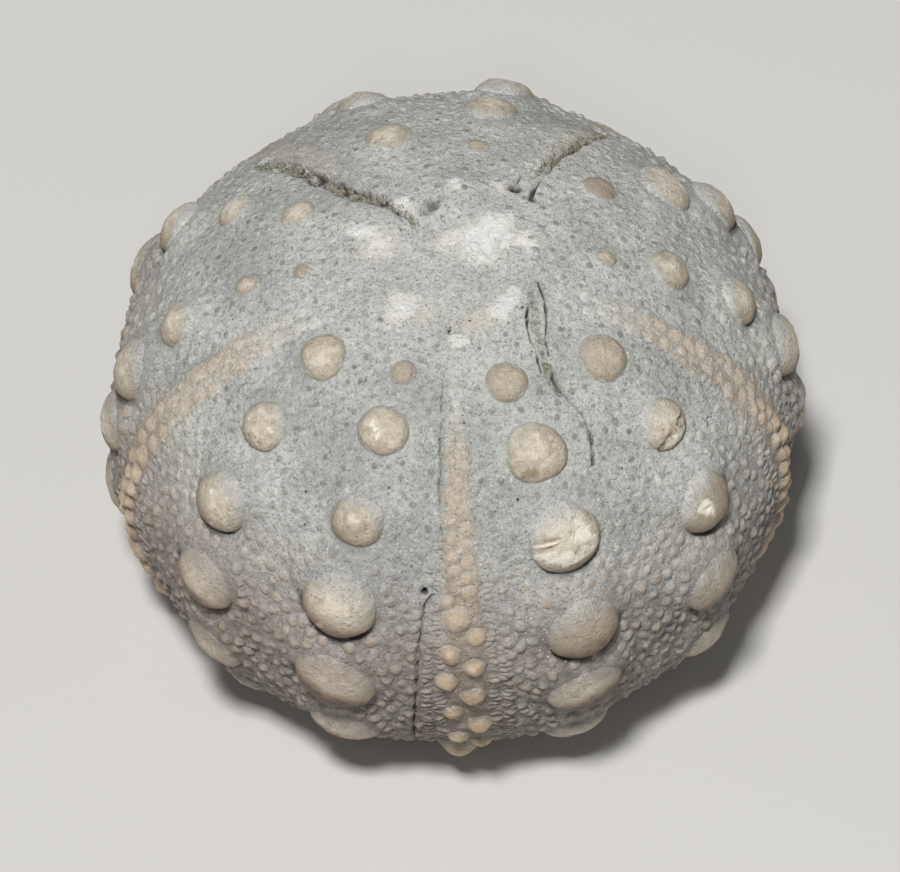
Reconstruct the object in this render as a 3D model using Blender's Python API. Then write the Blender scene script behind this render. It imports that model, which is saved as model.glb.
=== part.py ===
"""Fossil sea urchin: a petrified round test (shell) with its spines long gone.

The test grew as one piece and turned to stone together with the mud that fills its mouth,
so it is one closed solid. Ten columns of round tubercles run from the apex to the mouth,
two in each wide plate zone, and five narrow ambulacra with small knobs run between them.
Three cracks cross the crown and one seam opens beside the front ambulacrum.

Every point of the surface has an angle from the apex (0 at the top, 180 at the mouth) and
an azimuth (0 towards -Y, 90 towards +X), both in degrees. The relief is a height in
millimetres along the outward normal of the bare test. The flat underside of the mud plug
is the plane z = 0, and the origin is the middle of that face.
"""
import bmesh
import bpy
import numpy as np
from mathutils.geometry import delaunay_2d_cdt

NODE_NAME = "fossil_urchin_test"
MM = 0.001                      # metres in a millimetre

# Bare test, without its relief (mm)
TEST_RADIUS = 16.8              # at the ambitus, the widest level
CROWN_HEIGHT = 12.0             # apex above the ambitus
CROWN_SQUARENESS = 2.12         # 2 is an ellipse, more is boxier
BASE_DEPTH = 13.6               # pole of the lower half, before it is flattened
BASE_SQUARENESS = 2.36
FLAT_DEPTH = 10.5               # where the lower half flattens out
FLAT_SHARPNESS = 8
REST_DEPTH = 10.75              # the resting plane, below the ambitus

# Mouth and the hardened mud in it (mm)
MOUTH_RIM_RADIUS = 7.2
MOUTH_GROOVE_RADIUS = 6.6
MOUTH_GROOVE_DEPTH = 0.45
PLUG_SHOULDER_RADIUS = 6.0
PLUG_FACE_RADIUS = 5.4
PLUG_RISE = 0.8                 # more than enough to reach the resting plane
MOUTH_RING_POINTS = 40

# Tubercles: azimuth of the column near the apex and from the ambitus down, then the angle from
# the apex and the crown width (mm) of each tubercle in it
TUBERCLE_COLUMNS = (
    (-21.5, -22, (21.6, 1.3), (32, 2.4), (48.5, 2.6), (66, 3.6), (89, 4.0),
     (110, 3.4), (130, 2.7), (145, 2.0)),
    (-54, -47, (26, 2.3), (41.5, 2.4), (58, 3.0), (77.5, 3.4), (101, 3.2),
     (123, 2.8), (140, 2.2)),
    (21.8, 19.7, (24.5, 2.0), (37.5, 2.9), (53.5, 3.4), (74.5, 3.6), (95.5, 3.7),
     (117, 3.2), (135, 2.5), (149, 1.8)),
    (56.5, 46, (31, 2.4), (46.5, 2.5), (64, 3.1), (85, 3.4), (107, 3.1),
     (127, 2.6), (143, 2.0)),
    (-95, -84, (24, 0.9), (34, 1.4), (49.5, 2.3), (64, 3.0), (79, 2.9),
     (101, 3.3), (123, 2.8), (141, 2.1)),
    (-122, -118, (29, 1.7), (43, 2.0), (60, 2.8), (79, 3.4), (101, 3.5),
     (122, 3.0), (138, 2.4), (150, 1.7)),
    (-165, -164, (33, 2.3), (54, 2.6), (74, 3.3), (96, 3.6),
     (118, 3.1), (135, 2.4), (148, 1.8)),
    (167, 166, (28, 1.2), (42, 2.6), (56.5, 3.0), (77, 3.5), (101, 3.4),
     (123, 2.8), (140, 2.2)),
    (126, 112, (32.5, 1.7), (47.5, 2.9), (60.5, 3.0), (74, 2.8), (93, 3.4),
     (116, 3.0), (136, 2.3)),
    (95, 89, (27, 1.1), (39, 2.2), (55, 2.5), (72, 3.1), (93.5, 3.2),
     (117, 3.1), (135, 2.4), (148, 1.8)),
)
COLUMN_TOP_ANGLE = 25
COLUMN_FOOT_ANGLE = 85
DISC_RISE = 0.20                # height over width of the worn discs near the apex
DOME_RISE = 0.34                # height over width of the domes around the sides
LOW_RISE = 0.26                 # and of the more worn ones from the ambitus down
DISC_ANGLE = 22                 # discs above this angle, domes below DOME_ANGLE
DOME_ANGLE = 64
LOW_ANGLE = 92
DISC_BULGE = 2.7                # exponent of the crown's section: 2 is a ball, 4 a flat disc
DOME_BULGE = 2.1
CROWN_EDGE = 0.35               # share of the height at which the crown meets its flank
FLANK_REACH = 1.42              # foot of the flank, in crown radii

# Ambulacra: two rows of small knobs, largest just under the ambitus; (angle, width in mm)
AMBULACRUM_AZIMUTHS = (0, -73, 73, -144, 144)
KNOB_ROW_SPREAD = 0.45          # a knob's place beside the middle line, in its widths
KNOB_FIRST_ANGLE = 72
KNOB_LAST_ANGLE = 151
KNOB_STEP = 6.5                 # between neighbours, which alternate left and right
KNOB_WIDTHS = ((72, 1.1), (95, 1.25), (105, 1.6), (117, 2.1), (130, 1.9), (151, 1.4))
KNOB_RISE = 0.28
BAND_HALF_WIDTH = 1.2           # the ambulacrum stands a little proud of its sides
BAND_RISE = 0.14

# Cracks: width and depth (mm), then (angle from the apex, azimuth) along the line
CRACKS = (
    (0.75, 0.45, (11, -162), (16, -150), (25, -141), (36, -140), (48, -141), (58, -142)),
    (0.65, 0.40, (20, 135), (27, 139), (43, 141), (52, 142.5), (62, 144)),
    (0.55, 0.30, (15, 72), (19, 55), (25, 41), (31, 36), (37, 38), (46, 33)),
    (0.50, 0.35, (25, -3.5), (35, -4), (55, -4), (69, -7.5), (92, -9), (115, -10), (128, -10)),
)
NOTCH = (58, 143, 1.6, 0.55)    # chip out of the rear right crack: angle, azimuth, width, depth
APEX_SINK = 0.42                # the worn apical disc lies this much lower (mm)
APEX_RADIUS = 4.4

# Mesh
CROWN_RINGS = (0.5, 0.88, 1.08, FLANK_REACH)    # ring radii over the crown's radius
KNOB_RINGS = (0.7, 1.15)
RING_STEP = 0.95                # between points on a ring (mm)
RING_LEAST = 7                  # points on the smallest ring
CRACK_STEP = 0.9                # between points along a crack (mm)
SKIN_STEP = 1.6                 # between points of the plain surface (mm)
SKIN_CLEARANCE = 1.0            # plain points keep this far from a feature's points
RING_CLEARANCE = 0.42
KNOB_CLEARANCE = 0.33
CRACK_CLEARANCE = 0.25

# Stone
STONE_COLOUR = (0.40, 0.40, 0.37, 1.0)
STONE_ROUGHNESS = 0.85


def smooth(low, high, value):
    """Rise from 0 at low to 1 at high, with level ends."""
    x = np.clip((value - low) / (high - low), 0.0, 1.0)
    return x * x * (3 - 2 * x)


def test_profile(angle):
    """Radius and height (mm, from the ambitus) of the bare test at an angle from the apex."""
    angle = np.radians(angle)
    sine = np.sin(angle)
    cosine = np.cos(angle)
    upper = cosine >= 0
    power = np.where(upper, CROWN_SQUARENESS, BASE_SQUARENESS)
    stretch = (np.abs(sine) ** power + np.abs(cosine) ** power) ** (-1 / power)
    rise = CROWN_HEIGHT * stretch * cosine
    depth = BASE_DEPTH * stretch * np.abs(cosine)
    depth = depth / (1 + (depth / FLAT_DEPTH) ** FLAT_SHARPNESS) ** (1 / FLAT_SHARPNESS)
    return TEST_RADIUS * stretch * sine, np.where(upper, rise, -depth)


def bare_points(angle, azimuth):
    """Points of the bare test."""
    radius, height = test_profile(angle)
    turn = np.radians(azimuth)
    return np.stack([radius * np.sin(turn), -radius * np.cos(turn), height], axis=-1)


def outward(angle, azimuth):
    """Unit normals of the bare test."""
    radius_a, height_a = test_profile(angle - 0.5)
    radius_b, height_b = test_profile(angle + 0.5)
    along = radius_b - radius_a
    drop = height_a - height_b
    length = np.hypot(along, drop)
    turn = np.radians(azimuth)
    side = drop / length
    return np.stack([side * np.sin(turn), -side * np.cos(turn), along / length], axis=-1)


def angle_at_mouth_radius(radius):
    """Angle from the apex where the underside has this radius."""
    angles = np.linspace(179, 110, 700)
    radii, _ = test_profile(angles)
    return float(np.interp(radius, radii, angles))


def around(angle, azimuth, distance, bearing):
    """Angle and azimuth of points at a distance (mm) and bearing from a point of the test."""
    radius_a, height_a = test_profile(angle - 0.5)
    radius_b, height_b = test_profile(angle + 0.5)
    millimetres_per_degree = np.hypot(radius_b - radius_a, height_b - height_a)
    radius, _ = test_profile(angle)
    down = distance * np.cos(bearing) / millimetres_per_degree
    sideways = np.degrees(distance * np.sin(bearing) / radius)
    return angle + down, azimuth + sideways


def tubercles():
    """Angle, azimuth, crown radius, height and section exponent of every tubercle."""
    found = []
    for top_azimuth, foot_azimuth, *members in TUBERCLE_COLUMNS:
        for angle, width in members:
            share = (angle - COLUMN_TOP_ANGLE) / (COLUMN_FOOT_ANGLE - COLUMN_TOP_ANGLE)
            azimuth = top_azimuth + (foot_azimuth - top_azimuth) * min(max(share, 0), 1)
            domed = float(smooth(DISC_ANGLE, DOME_ANGLE, angle))
            rise = DISC_RISE + (DOME_RISE - DISC_RISE) * domed
            rise += (LOW_RISE - DOME_RISE) * float(smooth(DOME_ANGLE, LOW_ANGLE, angle))
            bulge = DISC_BULGE + (DOME_BULGE - DISC_BULGE) * domed
            found.append((angle, azimuth, width / 2, width * rise, bulge))
    return found


def ambulacral_knobs():
    """Angle, azimuth, radius, height and section exponent of the small ambulacral knobs."""
    found = []
    count = int((KNOB_LAST_ANGLE - KNOB_FIRST_ANGLE) / KNOB_STEP) + 1
    for middle in AMBULACRUM_AZIMUTHS:
        for number in range(count):
            angle = KNOB_FIRST_ANGLE + number * KNOB_STEP
            width = float(np.interp(angle, *zip(*KNOB_WIDTHS)))
            side = 1 if number % 2 else -1
            radius, _ = test_profile(angle)
            spread = KNOB_ROW_SPREAD * width
            azimuth = middle + np.degrees(side * spread / radius)
            found.append((angle, azimuth, width / 2, width * KNOB_RISE, DOME_BULGE))
    return found


def crack_line(waypoints):
    """Angles and azimuths along a crack, close together."""
    angles = np.array([point[0] for point in waypoints], float)
    azimuths = np.array([point[1] for point in waypoints], float)
    corners = bare_points(angles, azimuths)
    steps = np.linalg.norm(np.diff(corners, axis=0), axis=1)
    distance = np.concatenate([[0.0], np.cumsum(steps)])
    places = np.linspace(0, distance[-1], int(distance[-1] / CRACK_STEP) + 1)
    return np.interp(places, distance, angles), np.interp(places, distance, azimuths)


def distance_to_line(points, line):
    """Shortest distance from each point to a polyline."""
    nearest = np.full(len(points), np.inf)
    for start, end in zip(line[:-1], line[1:]):
        run = end - start
        share = np.clip((points - start) @ run / (run @ run), 0, 1)
        gap = np.linalg.norm(points - start - share[:, None] * run, axis=1)
        nearest = np.minimum(nearest, gap)
    return nearest


def knob_relief(points, centre, radius, height, bulge):
    """A rounded crown on a short flank."""
    reach = np.linalg.norm(points - centre, axis=1) / radius
    crown = np.sqrt(np.clip(1 - reach ** bulge, 0, 1))
    flank = 1 - smooth(1.0, FLANK_REACH, reach)
    return height * (CROWN_EDGE * flank + (1 - CROWN_EDGE) * crown)


def mouth_relief(points):
    """The mud plug, with a worn groove between it and the rim of the mouth."""
    radius = np.hypot(points[:, 0], points[:, 1])
    below = points[:, 2] < 0
    plug = PLUG_RISE * (1 - smooth(PLUG_FACE_RADIUS, MOUTH_GROOVE_RADIUS, radius))
    groove_half = MOUTH_RIM_RADIUS - MOUTH_GROOVE_RADIUS
    groove = MOUTH_GROOVE_DEPTH * np.clip(
        1 - np.abs(radius - MOUTH_GROOVE_RADIUS) / groove_half, 0, 1)
    return np.where(below, plug - groove, 0)


def band_relief(points, angle):
    """The five ambulacra, standing slightly proud below the crown."""
    rise = np.zeros(len(points))
    radius = np.hypot(points[:, 0], points[:, 1])
    azimuth = np.degrees(np.arctan2(points[:, 0], -points[:, 1]))
    for middle in AMBULACRUM_AZIMUTHS:
        turn = (azimuth - middle + 180) % 360 - 180
        aside = np.abs(np.radians(turn)) * radius
        rise += BAND_RISE * (1 - smooth(0.6 * BAND_HALF_WIDTH, BAND_HALF_WIDTH, aside))
    return rise * smooth(25, 45, angle) * (1 - smooth(140, 152, angle))


def relief(angle, azimuth):
    """Height over the bare test (mm) at each point."""
    points = bare_points(angle, azimuth)
    height = band_relief(points, angle) + mouth_relief(points)
    height -= APEX_SINK * (1 - smooth(0.5, 1.0, np.hypot(points[:, 0], points[:, 1])
                                      / APEX_RADIUS)) * (points[:, 2] > 0)
    bumps = np.zeros(len(points))
    for bump_angle, bump_azimuth, radius, rise, bulge in tubercles() + ambulacral_knobs():
        centre = bare_points(bump_angle, bump_azimuth)
        bumps = np.maximum(bumps, knob_relief(points, centre, radius, rise, bulge))
    height += bumps
    for width, depth, *waypoints in CRACKS:
        line = bare_points(*crack_line(waypoints))
        height -= depth * np.clip(1 - distance_to_line(points, line) / (width / 2), 0, 1)
    notch_angle, notch_azimuth, notch_width, notch_depth = NOTCH
    gap = np.linalg.norm(points - bare_points(notch_angle, notch_azimuth), axis=1)
    return height - notch_depth * (1 - smooth(0.2, 1.0, gap / (notch_width / 2)))


def keep_apart(groups):
    """Join groups of (angles, azimuths, clearance), dropping points too near earlier ones."""
    angles, azimuths, kept = np.zeros(0), np.zeros(0), np.zeros((0, 3))
    for group_angles, group_azimuths, clearance in groups:
        points = bare_points(group_angles, group_azimuths)
        free = np.ones(len(points), bool)
        if len(kept):
            gaps = np.linalg.norm(points[:, None] - kept[None], axis=2).min(axis=1)
            free = gaps >= clearance
        angles = np.append(angles, group_angles[free])
        azimuths = np.append(azimuths, group_azimuths[free])
        kept = np.vstack([kept, points[free]])
    return angles, azimuths


def ring_points(angle, azimuth, radius, factors):
    """The middle of a bump and rings around it, each turned half a step from the last."""
    angles, azimuths = [angle], [azimuth]
    count = max(RING_LEAST, int(round(2 * np.pi * radius / RING_STEP)))
    for order, factor in enumerate(factors):
        bearings = (np.arange(count) + 0.5 * (order % 2)) * 2 * np.pi / count
        ring = around(angle, azimuth, factor * radius, bearings)
        angles.extend(ring[0])
        azimuths.extend(ring[1])
    return np.array(angles), np.array(azimuths)


def nearest_place(points):
    """Angle and azimuth of points close to the bare test, above its flattened part."""
    radius = np.hypot(points[:, 0], points[:, 1])
    stretch = np.where(points[:, 2] > 0, CROWN_HEIGHT, BASE_DEPTH)
    angle = np.arctan2(radius / TEST_RADIUS, points[:, 2] / stretch)
    return np.degrees(angle), np.degrees(np.arctan2(points[:, 0], -points[:, 1]))


def crack_points(width, waypoints):
    """The bottom of a crack with its two edges."""
    angles, azimuths = crack_line(waypoints)
    here = bare_points(angles, azimuths)
    across = np.cross(np.gradient(here, axis=0), outward(angles, azimuths))
    across *= 0.5 * width / np.linalg.norm(across, axis=1)[:, None]
    left_angles, left_azimuths = nearest_place(here - across)
    right_angles, right_azimuths = nearest_place(here + across)
    return (np.concatenate([angles, left_angles, right_angles]),
            np.concatenate([azimuths, left_azimuths, right_azimuths]))


def skin_points(last_angle):
    """Evenly spaced points over the whole test, in staggered rows."""
    angles, azimuths = [0.0], [0.0]
    angle, row = 0.0, 0
    while True:
        radius_a, height_a = test_profile(angle + 0.1)
        radius_b, height_b = test_profile(angle + 1.1)
        angle += SKIN_STEP * 0.87 / np.hypot(radius_b - radius_a, height_b - height_a)
        if angle >= last_angle:
            break
        radius, _ = test_profile(angle)
        count = max(6, int(round(2 * np.pi * radius / SKIN_STEP)))
        row += 1
        for number in range(count):
            angles.append(angle)
            azimuths.append((number + 0.5 * (row % 2)) * 360 / count)
    return np.array(angles), np.array(azimuths)


def sample_points():
    """Angles and azimuths of all the mesh's points but the mouth's pole."""
    groups = []
    for radius in (PLUG_FACE_RADIUS, PLUG_SHOULDER_RADIUS, MOUTH_GROOVE_RADIUS,
                   MOUTH_RIM_RADIUS):
        azimuths = np.arange(MOUTH_RING_POINTS) * 360 / MOUTH_RING_POINTS
        angle = angle_at_mouth_radius(radius)
        groups.append((np.full(MOUTH_RING_POINTS, angle), azimuths, 0.0))
    for width, _, *waypoints in CRACKS:
        groups.append((*crack_points(width, waypoints), CRACK_CLEARANCE))
    for angle, azimuth, radius, *_ in tubercles():
        groups.append((*ring_points(angle, azimuth, radius, CROWN_RINGS), RING_CLEARANCE))
    for angle, azimuth, radius, *_ in ambulacral_knobs():
        groups.append((*ring_points(angle, azimuth, radius, KNOB_RINGS), KNOB_CLEARANCE))
    last_angle = angle_at_mouth_radius(MOUTH_RIM_RADIUS)
    groups.append((*skin_points(last_angle), SKIN_CLEARANCE))
    return keep_apart(groups)


def triangulate(angles, azimuths):
    """Triangles between the points, found on a flat map that keeps circles round."""
    reach = np.tan(np.radians(angles) / 2)
    turn = np.radians(azimuths)
    flat = np.stack([reach * np.sin(turn), -reach * np.cos(turn)], axis=1)
    _, _, faces, *_ = delaunay_2d_cdt([tuple(p) for p in flat], [], [], 0, 1e-9)
    return faces


def build_test():
    """The whole petrified test as one mesh object, in metres."""
    angles, azimuths = sample_points()
    lift = relief(angles, azimuths)
    points = bare_points(angles, azimuths) + lift[:, None] * outward(angles, azimuths)
    points[:MOUTH_RING_POINTS, 2] = -REST_DEPTH
    points[:, 2] = np.maximum(points[:, 2], -REST_DEPTH) + REST_DEPTH
    faces = triangulate(angles, azimuths)
    pole = len(points)
    points = np.vstack([points, [0.0, 0.0, 0.0]])
    for number in range(MOUTH_RING_POINTS):
        faces.append((number, (number + 1) % MOUTH_RING_POINTS, pole))
    mesh = bpy.data.meshes.new(NODE_NAME)
    mesh.from_pydata((points * MM).tolist(), [], faces)
    return mesh


def stone_material():
    """Grey limestone, dull all over."""
    material = bpy.data.materials.new("grey_limestone")
    material.use_nodes = True
    shader = material.node_tree.nodes["Principled BSDF"]
    shader.inputs["Base Color"].default_value = STONE_COLOUR
    shader.inputs["Roughness"].default_value = STONE_ROUGHNESS
    shader.inputs["Metallic"].default_value = 0.0
    return material


def turn_faces_outward(mesh):
    """Give every face the same winding, seen from outside."""
    shell = bmesh.new()
    shell.from_mesh(mesh)
    bmesh.ops.recalc_face_normals(shell, faces=shell.faces)
    shell.to_mesh(mesh)
    shell.free()


for old in list(bpy.data.objects):
    bpy.data.objects.remove(old, do_unlink=True)

test_mesh = build_test()
turn_faces_outward(test_mesh)
test_mesh.materials.append(stone_material())
test_mesh.shade_smooth()
test = bpy.data.objects.new(NODE_NAME, test_mesh)
bpy.context.scene.collection.objects.link(test)
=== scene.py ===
"""Fossil sea urchin: a petrified round test, resting on the hardened mud in its mouth.

Places on the test are given as an angle from the apex (0 at the top, 180 at the mouth) and an
azimuth (0 towards -Y, 90 towards +X), both in degrees. Heights over the bare test are in
millimetres, and a mesh is turned into metres when it is made.
"""

import math
from itertools import product

import bpy
import numpy as np
from mathutils import Matrix, Vector, kdtree, noise
from mathutils.geometry import delaunay_2d_cdt


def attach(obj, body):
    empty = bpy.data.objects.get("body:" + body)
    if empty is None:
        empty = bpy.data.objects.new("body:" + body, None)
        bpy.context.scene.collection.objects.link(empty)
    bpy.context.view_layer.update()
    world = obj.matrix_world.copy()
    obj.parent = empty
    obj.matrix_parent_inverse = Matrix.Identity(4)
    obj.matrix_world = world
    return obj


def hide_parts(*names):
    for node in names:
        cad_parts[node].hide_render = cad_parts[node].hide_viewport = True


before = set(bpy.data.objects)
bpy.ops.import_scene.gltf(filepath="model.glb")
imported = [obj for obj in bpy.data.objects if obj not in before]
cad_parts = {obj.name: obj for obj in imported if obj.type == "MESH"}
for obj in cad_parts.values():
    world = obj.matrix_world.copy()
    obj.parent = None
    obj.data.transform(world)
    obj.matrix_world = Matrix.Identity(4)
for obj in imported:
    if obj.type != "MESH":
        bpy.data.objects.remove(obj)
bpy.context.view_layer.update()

# ---------------------------------------------------------------------------- the mud-coated test
# The shell grew as a ball of thin limy plates and turned to stone with the mud that filled it.
# A thin grey coat of that mud still clings to it, pitted, speckled and cracked across the crown.
MM = 0.001
TEST_RADIUS = 16.8              # at the ambitus, the widest level
CROWN_HEIGHT = 12.0
CROWN_SQUARENESS = 2.12
BASE_DEPTH = 13.6
BASE_SQUARENESS = 2.36
FLAT_DEPTH = 10.5
FLAT_SHARPNESS = 8
REST_DEPTH = 10.75              # the resting plane, below the ambitus

MOUTH_RIM_RADIUS = 7.2
MOUTH_GROOVE_RADIUS = 6.6
MOUTH_GROOVE_DEPTH = 0.45
PLUG_FACE_RADIUS = 5.4
PLUG_RISE = 0.8
APEX_SINK = 0.42
APEX_RADIUS = 4.4

# Columns of tubercles: azimuth near the apex and from the ambitus down, then angle and width
TUBERCLE_COLUMNS = {
    "A": (-21.5, -22, (21.6, 1.3), (32, 2.4), (48.5, 2.6), (66, 3.6), (89, 4.0),
          (110, 3.4), (130, 2.7), (145, 2.0)),
    "C": (-54, -47, (26, 2.3), (41.5, 2.4), (58, 3.0), (77.5, 3.4), (101, 3.2),
          (123, 2.8), (140, 2.2)),
    "B": (21.8, 19.7, (24.5, 2.0), (37.5, 2.9), (53.5, 3.4), (74.5, 3.6), (95.5, 3.7),
          (117, 3.2), (135, 2.5), (149, 1.8)),
    "D": (56.5, 46, (31, 2.4), (46.5, 2.5), (64, 3.1), (85, 3.4), (107, 3.1),
          (127, 2.6), (143, 2.0)),
    "E": (-95, -84, (24, 0.9), (34, 1.4), (49.5, 2.3), (64, 3.0), (79, 2.9),
          (101, 3.3), (123, 2.8), (141, 2.1)),
    "F": (-122, -118, (29, 1.7), (43, 2.0), (60, 2.8), (79, 3.4), (101, 3.5),
          (122, 3.0), (138, 2.4), (150, 1.7)),
    "G": (-165, -164, (33, 2.3), (54, 2.6), (74, 3.3), (96, 3.6),
          (118, 3.1), (135, 2.4), (148, 1.8)),
    "H": (167, 166, (28, 1.2), (42, 2.6), (56.5, 3.0), (77, 3.5), (101, 3.4),
          (123, 2.8), (140, 2.2)),
    "I": (126, 112, (32.5, 1.7), (47.5, 2.9), (60.5, 3.0), (74, 2.8), (93, 3.4),
          (116, 3.0), (136, 2.3)),
    "J": (95, 89, (27, 1.1), (39, 2.2), (55, 2.5), (72, 3.1), (93.5, 3.2),
          (117, 3.1), (135, 2.4), (148, 1.8)),
}
COLUMN_TOP_ANGLE = 25
COLUMN_FOOT_ANGLE = 85
DISC_RISE = 0.20                # height over width of the worn discs near the apex
DOME_RISE = 0.34                # height over width of the domes around the sides
LOW_RISE = 0.26                 # and of the more worn ones from the ambitus down
LEAST_RISE = 0.24               # of the smallest heads (mm)
DISC_ANGLE = 22                 # the heads are flat discs down to this angle,
DOME_ANGLE = 64                 # whole domes from this one,
LOW_ANGLE = 92                  # and more worn again from this one
DISC_BULGE = 2.7                # exponent of a crown's section: 2 is a ball, 4 a flat disc
DOME_BULGE = 2.1
COLLAR_HEIGHT = 0.20            # share of a tubercle's height at which the mud meets its crown
COLLAR_DRIFT = 0.28             # the more on the uphill side of the domes
COLLAR_DROP = 0.15              # and the less below them
COLLAR_REACH = 1.5              # foot of the collar, in crown radii
COLLAR_LIMIT = 2.2              # and past the furthest foot
COLLAR_FILLET = 0.07            # how softly the mud meets a crown (mm)
COLLAR_THINNING = 0.7           # how fast it drops away under the crown
SHADOW_LEAN = 0.5                 # how far the painted shadow below a dome leans towards +X or -X

# The five narrow bands: azimuth, how much of the upper part shows, and how wide it looks there
AMBULACRA = ((0, 1.0, 1.0), (-73, 0.8, 1.4), (73, 0.85, 1.4), (-144, 0.25, 1.0), (144, 0.25, 1.0))
BAND_HALF_WIDTH = 1.15
BAND_RISE = 0.12

# Open cracks: width, depth (mm), darkness of painted shade, then (angle, azimuth) along the line
FISSURES = (
    (0.20, 0.42, 1.0, (50.5, -138.5), (48, -140), (43, -140.7), (38, -140.4), (32.5, -140.2),
     (27, -140.6), (22.5, -142.5), (18, -147.4), (16.3, -149.5), (14, -148)),
    (0.15, 0.30, 0.9, (47, -135.6), (40, -136.4), (35, -136.6), (29.5, -136.2), (24.7, -136),
     (21.6, -135.7)),
    (0.15, 0.30, 0.7, (13.3, -146), (11.4, -147), (9.2, -155.4), (9.9, -165.5)),
    (0.22, 0.45, 0.9, (54, 142), (49.9, 141.6), (43.3, 141.3), (36.8, 141.5), (31.9, 141),
     (27.2, 139.3), (23.4, 137.5), (20.3, 133.4)),
    (0.16, 0.32, 0.8, (32.4, 141.6), (28.9, 143.7), (26, 144.2), (23.8, 146.3), (20.2, 143.1)),
    (0.15, 0.34, 0.9, (15.9, 56.4), (17.5, 46.8), (19.9, 42.1), (21.8, 40.7), (23.8, 38.1),
     (27.2, 34)),
    (0.16, 0.36, 0.9, (15.6, 75.7), (17.6, 66.2), (19.6, 56.2), (21.6, 47.2), (24.9, 41.6),
     (28.8, 37.3)),
    (0.24, 0.26, 0.7, (27.4, 38.6), (29.6, 37.4), (32.9, 37.9), (36.1, 38.4), (39.7, 36.8),
     (44.1, 33.5)),
    (0.12, 0.16, 0.6, (11.7, -1.9), (13.8, 0.7), (14.9, 13.3), (17.3, 28.8), (18.9, 37.9),
     (18.5, 44.1)),
    (0.11, 0.22, 0.5, (44.6, -59), (46.2, -55.1), (46.6, -51.8), (45.7, -49.3)),
    (0.13, 0.16, 0.65, (22.5, -3.5), (25.2, -4.2), (33.8, -3.9), (42.7, -4.1), (53.9, -3.8),
     (60.1, -4.8)),
    (0.16, 0.32, 0.5, (60.1, -4.8), (64.7, -6.9), (75.2, -7.9), (89.2, -8.4), (108.5, -9.6),
     (128, -10)),
)
# Strips of crumbled stone along the cracks: width, sink, grit, then places along the middle
CRUMBLES = (
    (0.85, 0.16, 1.0, (49, -137.5), (43, -138.7), (35, -138.5), (28, -138.5), (22, -140),
     (17, -148)),
    (0.45, 0.12, 0.6, (17, -148), (13.4, -150.5), (9.6, -155)),
    (0.60, 0.12, 0.6, (52, 143), (43, 142), (32, 142.5), (25, 141)),
    (0.50, 0.08, 0.15, (16.5, 60), (19, 49), (22, 43), (25, 39.5), (28, 36.8), (31.5, 37.2)),
)
# Holes: angle, azimuth, width, depth, darkness of painted shade
PITS = (
    (61.2, -7.0, 0.46, 0.5, 1.0), (13.5, -173.4, 1.15, 0.25, 0.62), (12.3, -166, 0.8, 0.2, 0.5),
    (14.9, -179, 0.7, 0.15, 0.5), (21.0, 143.6, 0.85, 0.6, 1.0), (20.8, 132.8, 0.60, 0.5, 1.0),
    (8.0, -84, 0.26, 0.3, 1.0), (12.7, 0.3, 0.28, 0.3, 1.0), (17.9, -147.4, 0.50, 0.4, 1.0),
    (31.5, -138.6, 0.60, 0.4, 1.0), (35, -138.0, 0.42, 0.4, 1.0), (38, -139.5, 0.60, 0.4, 1.0),
    (42, -139, 0.50, 0.4, 1.0), (24.5, -139, 0.46, 0.4, 1.0), (27.5, -140.2, 0.40, 0.4, 1.0),
    (58, 143, 1.50, 0.5, 0.0),
)
# Bare calcite where the mud has come off: angle, azimuth, width along and across, whiteness
BARE_PATCHES = (
    (15.9, -121.5, 1.7, 1.4, 0.9), (12.4, -115.3, 1.6, 1.9, 0.6), (7.9, 131, 2.4, 2.8, 1.0),
    (11.5, 128, 1.9, 1.6, 1.0), (10.9, -46, 1.9, 1.9, 0.8), (10.0, -29, 1.5, 1.7, 0.3),
    (12.4, 50, 1.2, 2.0, 0.9), (11.8, 24, 1.3, 2.2, 0.05), (15.0, 6, 0.7, 0.9, 0.8),
    (15.4, -157, 1.1, 1.2, 1.0), (6.0, 170, 1.6, 1.8, 0.6), (17.3, 172, 0.9, 1.2, 0.8),
    (19.5, 151, 0.8, 1.2, 0.5), (14.7, 109, 1.2, 1.6, 0.7),
)

# The middle of the darkest mud on the upper side (angle, azimuth) and how far it spreads
GRIMY_PLACE = (46, -13)
GRIMY_SIZE = 4.5

TEST_STEP = 0.172               # between mesh points on the top and sides
BASE_STEP = 0.34                # and underneath
ROW_SHARE = 0.87                # between rows of points, over the gap along them
POLE_RADIUS = 1.2               # the rows end this far from the middle of the plug
CRACK_STEP = 0.075              # between the points along a crack
CRACK_ROWS = 4                  # of them on each side of it
CRACK_CLEARANCE = 0.12          # from them to the points around
FAR = 9.0                       # stands for any distance too large to matter


def smooth(low, high, value):
    """Rise from 0 at low to 1 at high, with level ends."""
    x = np.clip((value - low) / (high - low), 0.0, 1.0)
    return x * x * (3 - 2 * x)


def test_profile(angle):
    """Radius and height (from the ambitus) of the bare test at an angle from the apex."""
    angle = np.radians(angle)
    sine = np.sin(angle)
    cosine = np.cos(angle)
    power = np.where(cosine >= 0, CROWN_SQUARENESS, BASE_SQUARENESS)
    stretch = (np.abs(sine) ** power + np.abs(cosine) ** power) ** (-1 / power)
    rise = CROWN_HEIGHT * stretch * cosine
    depth = BASE_DEPTH * stretch * np.abs(cosine)
    depth = depth / (1 + (depth / FLAT_DEPTH) ** FLAT_SHARPNESS) ** (1 / FLAT_SHARPNESS)
    return TEST_RADIUS * stretch * sine, np.where(cosine >= 0, rise, -depth)


def bare_points(angle, azimuth):
    """Points of the bare test, with the ambitus at height 0."""
    radius, height = test_profile(angle)
    turn = np.radians(azimuth)
    return np.stack([radius * np.sin(turn), -radius * np.cos(turn), height], axis=-1)


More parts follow.
